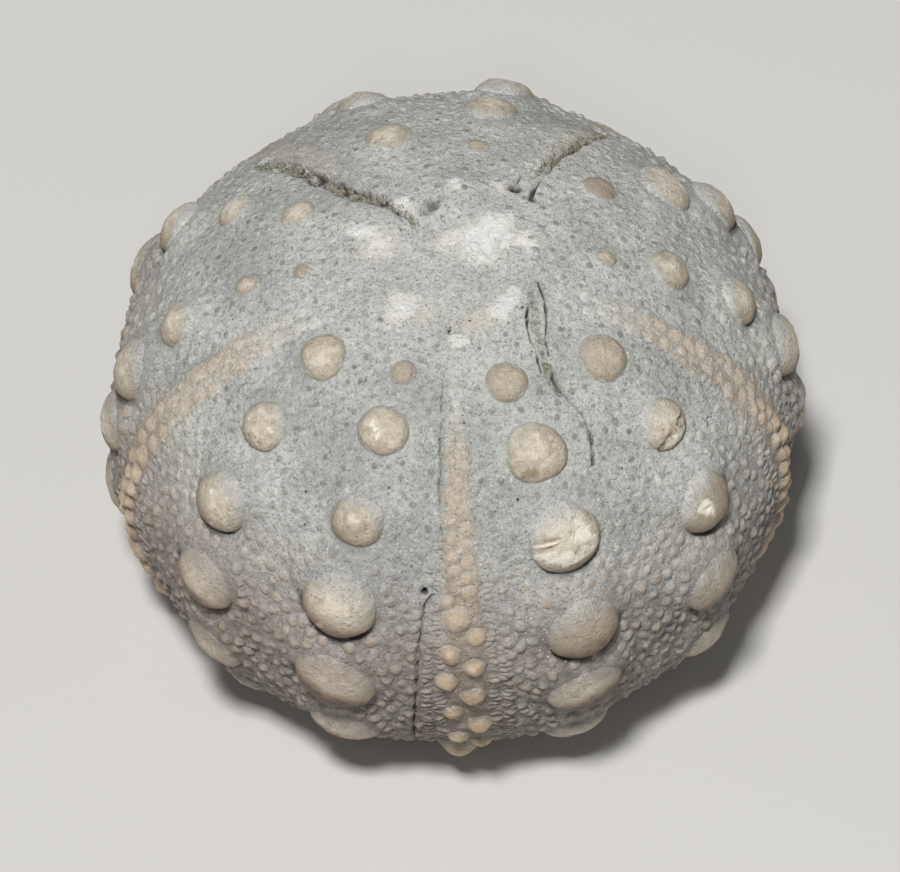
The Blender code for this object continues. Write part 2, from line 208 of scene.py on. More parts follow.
def steepness(angle):
    """Millimetres along the test to a degree, with their outward and downward parts."""
    radius_a, height_a = test_profile(angle - 0.5)
    radius_b, height_b = test_profile(angle + 0.5)
    outwards = radius_b - radius_a
    downwards = height_a - height_b
    return np.hypot(outwards, downwards), outwards, downwards


def directions(angle, azimuth):
    """Unit vectors away from the test, down along it and sideways along it."""
    length, outwards, downwards = steepness(angle)
    turn = np.radians(azimuth)
    sine, cosine = np.sin(turn), np.cos(turn)
    side = downwards / length
    lean = outwards / length
    away = np.stack([side * sine, -side * cosine, lean], axis=-1)
    down = np.stack([lean * sine, -lean * cosine, -side], axis=-1)
    return away, down, np.stack([cosine, sine, 0 * sine], axis=-1)


def around(angle, azimuth, distance, bearing):
    """Places at a distance (mm) and bearing (0 is down the test) from a place."""
    length, *_ = steepness(angle)
    radius, _ = test_profile(angle)
    down = distance * np.cos(bearing) / length
    return angle + down, azimuth + np.degrees(distance * np.sin(bearing) / radius)


def lumps(points, size, seed):
    """Smooth noise from about -1 to 1 whose lumps are this many millimetres across."""
    shifted = points / size + np.array([17.3, -9.1, 5.7]) * seed
    return np.array([noise.noise(place) for place in shifted.tolist()])


def section_bulge(domed):
    """Exponent of a crown's section, from a disc's (0) to a dome's (1)."""
    return DISC_BULGE + (DOME_BULGE - DISC_BULGE) * domed


def shadow_lean(azimuth):
    """How far aside of straight down the painted shadow below a dome lies at this azimuth."""
    return SHADOW_LEAN * math.sin(2 * math.radians(azimuth))


def tubercles():
    """Every tubercle: its name, angle, azimuth, crown radius, height and how domed it is."""
    found = []
    for letter, (top_azimuth, foot_azimuth, *members) in TUBERCLE_COLUMNS.items():
        for number, (angle, width) in enumerate(members):
            share = (angle - COLUMN_TOP_ANGLE) / (COLUMN_FOOT_ANGLE - COLUMN_TOP_ANGLE)
            azimuth = top_azimuth + (foot_azimuth - top_azimuth) * min(max(share, 0), 1)
            domed = float(smooth(DISC_ANGLE, DOME_ANGLE, angle))
            rise = DISC_RISE + (DOME_RISE - DISC_RISE) * domed
            rise += (LOW_RISE - DOME_RISE) * float(smooth(DOME_ANGLE, LOW_ANGLE, angle))
            height = max(width * rise, LEAST_RISE)
            found.append((f"{letter}{number}", angle, azimuth, width / 2, height, domed))
    return found


def dense_line(places, step):
    """Angles and azimuths along a line of places, a step (mm) apart."""
    angles, azimuths = np.array(places, float).T
    runs = np.linalg.norm(np.diff(bare_points(angles, azimuths), axis=0), axis=1)
    distance = np.concatenate([[0.0], np.cumsum(runs)])
    stops = np.arange(0, distance[-1], step)
    return np.interp(stops, distance, angles), np.interp(stops, distance, azimuths)


def line_distance(points, places):
    """Distance from each point to a line of places, for the points near it."""
    line = bare_points(*dense_line(places, 0.6))
    near = np.full(len(points), FAR)
    close = np.linalg.norm(points - line.mean(axis=0), axis=1) < np.ptp(line, axis=0).max() + 2
    chosen = points[close]
    best = np.full(len(chosen), FAR)
    for start, end in zip(line[:-1], line[1:]):
        run = end - start
        share = np.clip((chosen - start) @ run / (run @ run), 0, 1)
        best = np.minimum(best, np.linalg.norm(chosen - start - share[:, None] * run, axis=1))
    near[close] = best
    return near


def collar_relief(points):
    """Mud banked around the tubercles, higher uphill of the domes and hollow below them.

    Also its masks: where the mud is smeared one colour, where it is smooth, and where a shadow is
    painted below a dome.
    """
    height, smear, calm, dome_shadow = np.zeros((4, len(points)))
    for _, angle, azimuth, radius, rise, domed in tubercles():
        _, down, side = directions(angle, azimuth)
        offset = points - bare_points(angle, azimuth)
        reach = np.linalg.norm(offset, axis=1) / radius
        close = reach < COLLAR_LIMIT
        offset, reach = offset[close], reach[close]
        downhill = (offset @ down) / radius / np.maximum(reach, 0.01)
        uphill = smooth(-0.3, 0.95, -downhill) * domed
        below = smooth(-0.1, 0.8, downhill) * domed
        foot = COLLAR_REACH + 0.5 * uphill + 0.15 * domed - 0.3 * below
        level = COLLAR_HEIGHT + COLLAR_DRIFT * uphill - COLLAR_DROP * below
        bulge = section_bulge(domed)
        edge = (1 - level ** 2) ** (1 / bulge)
        bank = rise * level * (1 - smooth(0, 1, (reach - 1) / (foot - 1)))
        bank -= rise * 0.22 * below * smooth(0.9, 1.02, reach) * (1 - smooth(1.08, 1.35, reach))
        crown = rise * np.sqrt(np.maximum(1 - np.minimum(reach, 1) ** bulge, 0))
        thinning = COLLAR_THINNING * (1 - 0.5 * uphill)
        lap = crown - 0.02 - thinning * radius * np.maximum(edge - reach, 0)
        lap = np.where(reach < 1, lap, -FAR)
        bank = 0.5 * (bank + lap + np.hypot(bank - lap, COLLAR_FILLET * (reach < 1)))
        old = height[close]
        height[close] = np.where(np.abs(bank) > np.abs(old), bank, old)
        smeared = (1 - smooth(1.15, 1.5, reach)) * (1 - 0.7 * domed)
        smear[close] = np.maximum(smear[close], smeared)
        calm[close] = np.maximum(calm[close], 1 - smooth(1.05, 1.4, reach))
        # the shadow painted below a dome lies downhill, leaning towards +X or -X
        leaning = offset @ down + shadow_lean(azimuth) * (offset @ side)
        outward = leaning / radius / np.maximum(reach, 0.01)
        shade = smooth(-0.1, 0.8, outward) * domed * (1 - smooth(1.0, 1.6, reach)) ** 2
        dome_shadow[close] = np.maximum(dome_shadow[close], shade)
    return height, smear, calm, dome_shadow


def band_half(angle):
    """Half the width of a band, which widens from 30 to 80 degrees from the apex."""
    return BAND_HALF_WIDTH * (0.55 + 0.45 * smooth(30, 80, angle))


def broadened(broad, angle):
    """How broad a band looks: as given on the upper side, easing to 1 by 85 degrees."""
    return broad + (1 - broad) * smooth(55, 85, angle)


def band_share(points, angle):
    """How much each point belongs to an ambulacrum, how far it is aside, and how clear it is."""
    radius = np.hypot(points[:, 0], points[:, 1])
    azimuth = np.degrees(np.arctan2(points[:, 0], -points[:, 1]))
    aside = np.full(len(points), 99.0)
    clear = np.ones(len(points))
    widen = np.ones(len(points))
    for middle, strength, broad in AMBULACRA:
        turn = (azimuth - middle + 180) % 360 - 180
        here = np.radians(turn) * radius
        nearer = np.abs(here) < np.abs(aside)
        aside = np.where(nearer, here, aside)
        clear = np.where(nearer, strength, clear)
        widen = np.where(nearer, broad, widen)
    half = band_half(angle) * broadened(widen, angle)
    strayed = np.abs(aside + 0.22 * lumps(points, 0.9, 20) + 0.10 * lumps(points, 0.3, 21))
    share = 1 - smooth(0.66, 1.10, strayed / half)
    clear = clear + (1 - clear) * smooth(55, 90, angle)
    return share * smooth(24, 40, angle) * (1 - smooth(140, 152, angle)), aside, clear


def stains(points):
    """How beige, warm, low down and pale each point is: masks that all the pieces share."""
    radius = np.hypot(points[:, 0], points[:, 1])
    angle = np.degrees(np.arctan2(radius / TEST_RADIUS, points[:, 2] / CROWN_HEIGHT))
    azimuth = np.arctan2(points[:, 0], -points[:, 1])
    band, _, clear = band_share(points, angle)
    warm = smooth(48, 85, angle) * (0.46 + 0.46 * np.cos(azimuth + math.radians(50)))
    grimy = np.linalg.norm(points - bare_points(*GRIMY_PLACE), axis=1) / GRIMY_SIZE
    pale = 1 - smooth(10, 28, angle) - np.exp(-grimy ** 2)
    return {"band": band * np.sqrt(clear), "warm": warm, "dirt": smooth(56, 100, angle),
            "pale": pale}


def mouth_relief(points):
    """The mud plug, with a worn groove between it and the rim of the mouth."""
    radius = np.hypot(points[:, 0], points[:, 1])
    plug = PLUG_RISE * (1 - smooth(PLUG_FACE_RADIUS, MOUTH_GROOVE_RADIUS, radius))
    half = MOUTH_RIM_RADIUS - MOUTH_GROOVE_RADIUS
    groove = MOUTH_GROOVE_DEPTH * np.clip(1 - np.abs(radius - MOUTH_GROOVE_RADIUS) / half, 0, 1)
    return np.where(points[:, 2] < 0, plug - groove, 0)


def mud_roughness(points, angle, calm):
    """Wrinkles and grain of the mud: smoother where it is calm, and rougher down the sides."""
    rough = 0.060 * lumps(points, 2.6, 1) + 0.050 * lumps(points, 0.9, 2)
    rough += 0.050 * lumps(points, 0.45, 3) + 0.034 * lumps(points, 0.25, 10)
    return rough * (1 - 0.78 * calm) * (1 + 0.6 * smooth(50, 80, angle))


def broken_mud(points, height):
    """Lower the mud's height where it is crumbled, cracked or holed; also give those masks."""
    wander = 0.12 * lumps(points, 0.8, 4) + 0.07 * lumps(points, 0.28, 5)
    ragged = 1.05 + 0.55 * lumps(points, 0.45, 16)
    broken = smooth(-0.45, 0.15, lumps(points, 0.6, 7))
    crumble, dark = np.zeros((2, len(points)))
    for width, sink, grit, *places in CRUMBLES:
        near = line_distance(points, places) + 1.8 * wander
        inside = 1 - smooth(0.6, 1.1, near / (width / 2))
        crumble = np.maximum(crumble, inside * (0.5 + 0.5 * grit))
        height = height - sink * inside
    height = height + crumble * 0.10 * lumps(points, 0.20, 6)
    for width, depth, darkness, *places in FISSURES:
        near = np.abs(line_distance(points, places) + 0.7 * wander)
        inside = (1 - smooth(0.1, 1.0, near / (width / 2 * ragged))) * (0.75 + 0.25 * broken)
        height = height - depth * inside
        dark = np.maximum(dark, inside * darkness)
    for angle, azimuth, width, depth, darkness in PITS:
        gap = np.linalg.norm(points - bare_points(angle, azimuth), axis=1)
        inside = 1 - smooth(0.4 * darkness, 1.0, (gap + wander * width) / (width / 2))
        height = height - depth * inside
        dark = np.maximum(dark, inside * darkness)
    return height, crumble, dark


def bare_calcite(points):
    """How bare of mud each point is, and how white the calcite that shows there is."""
    edge = 0.5 * lumps(points, 0.9, 8) + 0.4 * lumps(points, 0.35, 17)
    bare, white = np.zeros((2, len(points)))
    for angle, azimuth, along, across, whiteness in BARE_PATCHES:
        offset = points - bare_points(angle, azimuth)
        _, down, side = directions(angle, azimuth)
        reach = np.hypot(offset @ down / along, offset @ side / across) * 2
        inside = (1 - smooth(0.0, 1.7, reach + edge)) * (points[:, 2] > 0)
        bare = np.maximum(bare, inside)
        white = np.maximum(white, inside * whiteness)
    return bare, white


def mud_surface(angle, azimuth):
    """Height of the mud coat over the bare test, and the masks that its colour follows."""
    points = bare_points(angle, azimuth)
    band, _, clear = band_share(points, angle)
    bank, smear, calm, dome_shadow = collar_relief(points)
    height = BAND_RISE * band * clear + mouth_relief(points) + bank
    radius = np.hypot(points[:, 0], points[:, 1])
    height -= APEX_SINK * (1 - smooth(0.5, 1.0, radius / APEX_RADIUS)) * (points[:, 2] > 0)
    height += mud_roughness(points, angle, calm)
    height, crumble, dark = broken_mud(points, height)
    bare, white = bare_calcite(points)
    height += bare * (0.04 + 0.07 * lumps(points, 0.5, 9))
    masks = {"crumble": crumble, "dark": dark, "bare": bare, "white": white, "smear": smear,
             "dome_shadow": dome_shadow * smooth(32, 78, angle)}
    return height, {**masks, **stains(points)}


def on_test(angle, azimuth, height):
    """Points at a height over the bare test, above the resting plane, in metres."""
    away, *_ = directions(angle, azimuth)
    points = bare_points(angle, azimuth) + np.asarray(height)[..., None] * away
    points[..., 2] = np.maximum(points[..., 2] + REST_DEPTH, 0)
    return points * MM


def rows_of_places(step, last_angle, seed):
    """Evenly spread places in staggered, slightly shaken rows; step is a function of angle."""
    shake = np.random.default_rng(seed)
    angles, azimuths = [np.array([0.0])], [np.array([0.0])]
    angle, row = 0.0, 0
    while True:
        length, *_ = steepness(angle + 0.6)
        gap = step(angle)
        angle += gap * ROW_SHARE / length
        if angle >= last_angle:
            break
        radius, _ = test_profile(angle)
        count = max(6, int(round(2 * math.pi * radius / gap)))
        row += 1
        turns = np.arange(count) + 0.5 * (row % 2) + shake.uniform(-0.2, 0.2, count)
        angles.append(angle + shake.uniform(-0.17, 0.17, count) * gap / length)
        azimuths.append(turns * 360 / count)
    return np.concatenate(angles), np.concatenate(azimuths)


def crack_places():
    """Close rows of places along every crack, for crisp edges."""
    angles, azimuths = [], []
    for _, _, _, *places in FISSURES:
        middle = dense_line(places, CRACK_STEP)
        points = bare_points(*middle)
        _, down, side = directions(*middle)
        along = np.gradient(points, axis=0)
        bearing = np.arctan2((along * side).sum(axis=1), (along * down).sum(axis=1)) + math.pi / 2
        for number in range(-CRACK_ROWS, CRACK_ROWS + 1):
            row = around(*middle, number * CRACK_STEP * 0.9, bearing)
            angles.append(row[0])
            azimuths.append(row[1])
    return np.concatenate(angles), np.concatenate(azimuths)


def is_crowded(place, key, limit, cells):
    """Whether a kept point lies nearer to a place than a limit (squared)."""
    for shift in product((-1, 0, 1), repeat=3):
        for other in cells.get((key[0] + shift[0], key[1] + shift[1], key[2] + shift[2]), ()):
            gap = (other[0] - place[0]) ** 2 + (other[1] - place[1]) ** 2
            if gap + (other[2] - place[2]) ** 2 < limit:
                return True
    return False


def thinned(points, clearance):
    """Which points stay when each keeps its clearance from all kept before it."""
    cells = {}
    stays = np.zeros(len(points), bool)
    size = float(np.max(clearance))
    clearance = np.broadcast_to(clearance, len(points))
    keys = np.floor(points / size).astype(int).tolist()
    for number, (key, place) in enumerate(zip(keys, points.tolist())):
        if not is_crowded(place, key, clearance[number] ** 2, cells):
            stays[number] = True
            cells.setdefault(tuple(key), []).append(place)
    return stays


def test_step(angle):
    """Gap between the test's mesh points, which widens underneath."""
    return TEST_STEP + (BASE_STEP - TEST_STEP) * float(smooth(112, 135, angle))


def test_places():
    """Places of the test's mesh points: rows beside the cracks, and rows around all the rest.

    Of the points that a crown hides, one in six stays.
    """
    crack_angles, crack_azimuths = crack_places()
    stays = thinned(bare_points(crack_angles, crack_azimuths), CRACK_STEP * 0.75)
    crack_angles, crack_azimuths = crack_angles[stays], crack_azimuths[stays]
    near_crack = kdtree.KDTree(len(crack_angles))
    for number, point in enumerate(bare_points(crack_angles, crack_azimuths)):
        near_crack.insert(point, number)
    near_crack.balance()
    plug_angles = np.linspace(179, 110, 700)
    last_angle = float(np.interp(POLE_RADIUS, test_profile(plug_angles)[0], plug_angles))
    angles, azimuths = rows_of_places(test_step, last_angle, 1)
    points = bare_points(angles, azimuths)
    free = np.array([near_crack.find(point)[2] > CRACK_CLEARANCE for point in points])
    under_crown = np.zeros(len(points), bool)
    for _, angle, azimuth, radius, *_ in tubercles():
        under_crown |= np.linalg.norm(points - bare_points(angle, azimuth), axis=1) < 0.55 * radius
    free &= ~under_crown | (np.arange(len(points)) % 6 == 0)
    return (np.concatenate([crack_angles, angles[free]]),
            np.concatenate([crack_azimuths, azimuths[free]]))


def in_scene(name, data):
    """A new object in the scene that holds this mesh, lamp or camera."""
    piece = bpy.data.objects.new(name, data)
    bpy.context.scene.collection.objects.link(piece)
    return piece


def store_masks(mesh, masks):
    """Keep each mask on a mesh, one number to a point."""
    for label, values in masks.items():
        mesh.attributes.new(label, "FLOAT", "POINT").data.foreach_set("value", np.float32(values))


def mesh_from(name, points, faces, masks):
    """A smooth mesh object with its masks."""
    mesh = bpy.data.meshes.new(name)
    mesh.from_pydata(points.tolist(), [], faces)
    store_masks(mesh, masks)
    mesh.shade_smooth()
    return in_scene(name, mesh)


def test_mesh():
    """The coated test as one closed skin."""
    angles, azimuths = test_places()
    reach = np.tan(np.radians(angles) / 2)
    turn = np.radians(azimuths)
    flat = np.stack([reach * np.sin(turn), -reach * np.cos(turn)], axis=1)
    _, _, faces, *_ = delaunay_2d_cdt(flat.tolist(), [], [], 0, 1e-12)
    height, masks = mud_surface(angles, azimuths)
    points = on_test(angles, azimuths, height)
    edges = set()
    for face in faces:
        for start, end in zip(face, face[1:] + face[:1]):
            if (end, start) in edges:
                edges.discard((end, start))
            else:
                edges.add((start, end))
    pole = len(points)
    points = np.vstack([points, [0, 0, 0]])
    faces = list(faces) + [(end, start, pole) for start, end in edges]
    masks = {label: np.append(values, 0) for label, values in masks.items()}
    return mesh_from("mud_coated_test", points, faces, masks)


class Wire:
    """A socket in a node tree; arithmetic on it adds Math nodes."""

    def __init__(self, tree, socket):
        self.tree = tree
        self.socket = socket

    def add(self, kind, settings, sockets, output=0):
        return add_node(self.tree, kind, settings, sockets, output)

    def math(self, operation, first, second):
        return self.add("ShaderNodeMath", {"operation": operation}, {0: first, 1: second})

    def __add__(self, other):
        return self.math("ADD", self, other)

    __radd__ = __add__

    def __sub__(self, other):
        return self.math("SUBTRACT", self, other)

    def __rsub__(self, other):
        return self.math("SUBTRACT", other, self)

    def __mul__(self, other):
        return self.math("MULTIPLY", self, other)

    __rmul__ = __mul__

    def rise(self, low, high):
        """0 at low and 1 at high, whichever is larger, and smooth between."""
        return self.add("ShaderNodeMapRange", {"interpolation_type": "SMOOTHSTEP"},
                        {"Value": self, "From Min": low, "From Max": high})

    def at_least(self, other):
        """The larger of the two."""
        return self.math("MAXIMUM", self, other)


def add_node(tree, kind, settings, sockets, output=0):
    """Add a node, set it up, fill its sockets, and give back one output as a Wire."""
    node = tree.nodes.new(kind)
    for key, value in settings.items():
        setattr(node, key, value)
    for key, value in sockets.items():
        if isinstance(value, Wire):
            tree.links.new(value.socket, node.inputs[key])
        else:
            node.inputs[key].default_value = value
    return Wire(tree, node.outputs[output])


class Finish:
    """A material being built: its tree, its coordinates and its shader."""

    def __init__(self, name):
        self.material = bpy.data.materials.new(name)
        self.material.use_nodes = True
        self.tree = self.material.node_tree
        self.shader = self.tree.nodes["Principled BSDF"]
        self.place = add_node(self.tree, "ShaderNodeTexCoord", {}, {}, "Object")

    def mask(self, label):
        """The number that the mesh keeps under this label."""
        return add_node(self.tree, "ShaderNodeAttribute", {"attribute_name": label}, {}, "Fac")

    def noise(self, size, detail, roughness, distortion=0.0):
        """Noise from 0 to 1 with lumps of a size in millimetres."""
        return add_node(self.tree, "ShaderNodeTexNoise", {},
                        {"Vector": self.place, "Scale": 1 / (size * MM), "Detail": detail,
                         "Roughness": roughness, "Distortion": distortion}, "Fac")

    def cells(self, size):
        """Distance to the nearest of scattered points this many millimetres apart."""
        return add_node(self.tree, "ShaderNodeTexVoronoi", {},
                        {"Vector": self.place, "Scale": 1 / (size * MM)}, "Distance")

    def mix(self, share, first, second):
        """A share of the second colour laid over the first."""
        return add_node(self.tree, "ShaderNodeMix", {"data_type": "RGBA"},
                        {0: share, 6: first, 7: second}, 2)

    def bump(self, height, depth, base=None):
        """Normals bent by a height from 0 to 1 that stands for a depth in millimetres."""
        sockets = {"Height": height, "Distance": depth * MM, "Strength": 1.0}
        if base is not None:
            sockets["Normal"] = base
        return add_node(self.tree, "ShaderNodeBump", {}, sockets)

    def wire(self, socket, value):
        """Give the shader's socket a link or a value."""
        if isinstance(value, Wire):
            self.tree.links.new(value.socket, self.shader.inputs[socket])
        else:
            self.shader.inputs[socket].default_value = value


def paint(red, green, blue):
    """A colour from its screen values (0 to 255), as Blender's linear colour."""
    return tuple(((value / 255 + 0.055) / 1.055) ** 2.4 if value > 10 else value / 3295
                 for value in (red, green, blue)) + (1.0,)


MUD_PALE = paint(227, 228, 221)
MUD_LIGHT = paint(207, 208, 201)
MUD_MID = paint(177, 178, 174)
MUD_SHADE = paint(144, 145, 141)
MUD_DARK = paint(84, 84, 80)
MUD_WARM = paint(163, 138, 122)
MUD_LOW_DARK = paint(117, 113, 106)
BAND_BEIGE = paint(188, 173, 152)
BARE_WHITE = paint(242, 242, 237)
BARE_CREAM = paint(221, 212, 198)
CRUMBLE_TAN = paint(150, 141, 116)
CRUMBLE_SHADE = paint(70, 66, 54)
CREVICE_SHADE = paint(50, 46, 41)
HOLLOW_DARK = paint(40, 36, 32)


def speckled_mud(finish, smear=0.0):
    """Colour of the mud: wrinkled pale and dark, specked, and stained; and its grain."""
    cloud = finish.noise(3.2, 3, 0.55)
    blotch = finish.noise(0.34, 4, 0.6, 0.8)
    grain = finish.noise(0.12, 4, 0.66, 0.5)
    stain = finish.noise(0.7, 3, 0.6)
    tone = grain * 0.60 + blotch * 0.40
    cloud = cloud + finish.mask("pale") * 0.13
    colour = finish.mix(cloud.rise(0.3, 0.7), MUD_MID, MUD_LIGHT)
    colour = finish.mix(finish.mask("band") * stain.rise(0.12, 0.55) * 0.85, colour, BAND_BEIGE)
    colour = finish.mix(tone.rise(0.52, 0.34) * (0.92 - smear * 0.40), colour, MUD_SHADE)
    colour = finish.mix(tone.rise(0.52, 0.68) * 0.90, colour, MUD_PALE)
    colour = finish.mix(finish.mask("warm") * (stain * 0.9 + 0.1), colour, MUD_WARM)
    # darker and browner low on the test
    colour = finish.mix(finish.mask("dirt") * stain.rise(0.25, 0.65) * 0.65, colour, MUD_LOW_DARK)
    colour = finish.mix(grain.rise(0.40, 0.29) * (0.85 - smear * 0.5), colour, MUD_DARK)
    return colour, grain


def mud_bump(finish, grain, depth=1.0):
    """Normals of the rough mud: wrinkles, grit and the finest grain."""
    wrinkled = finish.bump(finish.noise(0.34, 4, 0.6, 0.8), 0.20 * depth)
    gritty = finish.bump(grain, 0.09 * depth, wrinkled)
    return finish.bump(finish.noise(0.05, 2, 0.6), 0.016 * depth, gritty)


def mud_finish():
    """Dull grey mud: speckled, pinholed with painted shade, browner low down, bare white or beige
    in places.
    """
    finish = Finish("grey_mud_coat")
    colour, grain = speckled_mud(finish, finish.mask("smear"))
    stain = finish.noise(0.7, 3, 0.6)
    fleck = finish.noise(0.3, 2, 0.5)
    bare = finish.mask("bare")
    ragged = fleck * 0.5 + grain * 0.8 - 0.65
    colour = finish.mix((bare + ragged).rise(0.0, 0.9) * 0.75, colour, BARE_CREAM)
    colour = finish.mix((finish.mask("white") + ragged).rise(0.1, 0.8) * 0.85, colour, BARE_WHITE)
    crumble = finish.mask("crumble")
    grit = finish.noise(0.10, 3, 0.7)
    colour = finish.mix(crumble.rise(0.1, 0.9) * stain.rise(0.35, 0.6) * 0.8, colour, CRUMBLE_TAN)
    colour = finish.mix(crumble * grit.rise(0.50, 0.38) * 0.9, colour, CRUMBLE_SHADE)
    colour = finish.mix(crumble * fleck.rise(0.46, 0.36) * 0.8, colour, CRUMBLE_SHADE)
    # painted shadow in the mud below the domes
    dome_shadow = (finish.mask("dome_shadow") + ragged * 0.4).rise(0.0, 0.8)
    colour = finish.mix(dome_shadow * 0.85, colour, CREVICE_SHADE)
    # painted shade in the pinholes, and in the cracks and holes by their darkness
    pin = finish.cells(1.5).rise(0.060, 0.035)
    hollow = finish.mask("dark").rise(0.15, 0.85).at_least(pin * 0.9)
    colour = finish.mix(hollow * 0.92, colour, HOLLOW_DARK)
    finish.wire("Base Color", colour)
    finish.wire("Roughness", 0.84)
    finish.wire("Specular IOR Level", 0.3)
    finish.wire("Normal", finish.bump(1 - pin, 0.06, mud_bump(finish, grain)))
    return finish.material


mud = mud_finish()
test = test_mesh()
test.data.materials.append(mud)
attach(test, "root")
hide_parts("fossil_urchin_test")

# ---------------------------------------------------------------------------- tubercle crowns
# The round heads that carried the spines, of dense waxy calcite. They grew on the plates, and
# wear has rubbed them down to smooth discs near the top and left whole domes around the sides.
CROWN_POINT_STEP = 0.15
CROWN_SIDES = (18, 72)          # the fewest and the most points around a head
CROWN_RINGS = (8, 20)           # and rings of them from its top to its rim
CROWN_SPREAD = 1.06             # the heads run on a little under the mud
CROWN_UNDERCUT = 118            # the section runs this many degrees round from its top
CROWN_TUCK = 0.25               # how far the rim is sunk under the mud
PATTERN_SHIFT = 7.7             # from the noise of one head to that of the next
# Heads that keep a central nipple, and how high it stands (mm)
NIPPLES = {"A2": 0.15, "C0": 0.05, "B1": 0.05, "E2": 0.06, "J1": 0.10, "J2": 0.08, "F2": 0.06,
           "G1": 0.05, "H1": 0.05, "D3": 0.06, "C3": 0.06}
# How brown a head is, from 0 (cream) to 1; the rest follow their number
CROWN_BROWNNESS = {
    "A0": 0.9, "A1": 0.35, "A2": 0.7, "A3": 0.2, "A4": 0.5, "B0": 0.8, "B1": 0.4, "B2": 0.15,
    "B3": 0.9, "B4": 0.3, "C0": 0.5, "C1": 0.3, "C2": 0.45, "C3": 0.55, "C4": 0.6, "D0": 0.75,
    "D1": 0.35, "D2": 0.95, "D3": 0.9, "D4": 0.6, "E0": 1.0, "E1": 0.4, "E2": 0.45, "E3": 0.6,
    "F0": 0.05, "F1": 0.15, "F2": 0.5, "G0": 0.3, "G1": 0.5, "H0": 0.5, "H1": 0.5, "H2": 0.3,
    "I0": 0.95, "I1": 0.15, "I2": 0.6, "J0": 0.6, "J1": 0.65, "J2": 0.7, "J3": 0.5}
# Broken places on a head, in crown radii down and aside of its middle: where, half the size each
# way, depth (mm; below 0 it stands out), and how white the break is
# The small white spots on C1, C2, A2 and A3 are painted glints.
CROWN_BREAKS = {
    "B2": ((0.02, 0.40, 0.42, 0.34, 0.12, 0.9), (0.48, 0.42, 0.20, 0.36, 0.16, 0.7),
           (0.30, -0.66, 0.12, 0.34, -0.05, 1.0), (0.46, -0.36, 0.14, 0.40, -0.05, 1.0),
           (0.58, -0.02, 0.14, 0.36, -0.03, 1.0), (0.12, -0.56, 0.06, 0.36, 0.16, 0.1),
           (-0.06, -0.60, 0.05, 0.36, 0.12, 0.0), (0.02, -0.58, 0.05, 0.34, -0.04, 0.9)),
    "D1": ((0.74, -0.12, 0.16, 0.66, 0.08, 0.9), (-0.10, -0.05, 0.20, 0.22, 0.05, 0.5)),
    "D2": ((0.00, -0.30, 0.27, 0.24, 0.08, 0.85), (0.02, -0.28, 0.09, 0.09, 0.16, 0.0)),
    "A1": ((-0.08, -0.42, 0.16, 0.06, 0.03, 0.8), (0.12, -0.24, 0.16, 0.06, 0.03, 0.8),
           (0.32, -0.08, 0.14, 0.06, 0.03, 0.8), (-0.1, 0.3, 0.4, 0.35, 0.03, 0.3)),
    "C1": ((0.18, -0.45, 0.09, 0.08, 0.03, 0.9), (-0.05, 0.47, 0.12, 0.07, 0.03, 1.0),
           (0.0, 0.0, 0.35, 0.4, 0.03, 0.3)),
    "C2": ((-0.23, -0.23, 0.08, 0.06, 0.02, 0.9), (-0.13, 0.20, 0.06, 0.06, 0.02, 0.9),
           (0.72, 0.19, 0.06, 0.06, 0.02, 0.8)),
    "B1": ((0.62, -0.42, 0.20, 0.26, 0.16, 0.0),),
    "A2": ((0.0, 0.0, 0.24, 0.24, -0.02, 0.5), (0.29, -0.48, 0.06, 0.06, 0.02, 0.9)),
    "A3": ((-0.29, -0.20, 0.14, 0.15, 0.03, 0.5), (0.18, 0.08, 0.07, 0.08, 0.02, 0.5),
           (0.12, 0.45, 0.07, 0.08, 0.02, 0.5), (0.55, -0.3, 0.10, 0.10, 0.03, 0.4)),
    "B3": ((0.37, 0.08, 0.12, 0.20, 0.05, 0.2), (0.03, -0.24, 0.08, 0.08, 0.03, 0.3)),
    "F0": ((0.0, 0.0, 0.5, 0.5, 0.03, 0.5),), "F1": ((0.3, -0.2, 0.4, 0.5, 0.04, 0.5),),
    "I1": ((-0.1, 0.15, 0.70, 0.55, 0.12, 0.45), (0.45, 0.0, 0.25, 0.60, 0.06, 0.6)),
    "G3": ((0.3, 0.2, 0.5, 0.4, 0.16, 0.6),), "F3": ((-0.2, 0.3, 0.25, 0.3, 0.08, 0.6),),
    "H3": ((0.1, -0.2, 0.4, 0.5, 0.14, 0.7),), "J4": ((0.0, -0.3, 0.4, 0.4, 0.12, 0.6),),
    "E4": ((0.2, 0.2, 0.3, 0.3, 0.10, 0.5),), "I4": ((0.1, 0.4, 0.3, 0.25, 0.10, 0.6),),
}
# Cracks across a head: from and to (down and aside, in crown radii), width and depth (mm)
CROWN_SPLITS = {
    "D1": ((0.30, 0.75), (0.60, -1.10), 0.16, 0.30), "H3": ((-0.6, -0.5), (0.7, 0.4), 0.10, 0.15),
    "F3": ((-0.8, 0.0), (0.8, 0.3), 0.10, 0.15), "J4": ((-0.5, -0.8), (0.2, 0.9), 0.10, 0.15),
    "C1": ((0.75, -0.45), (0.55, 0.50), 0.08, 0.08)}


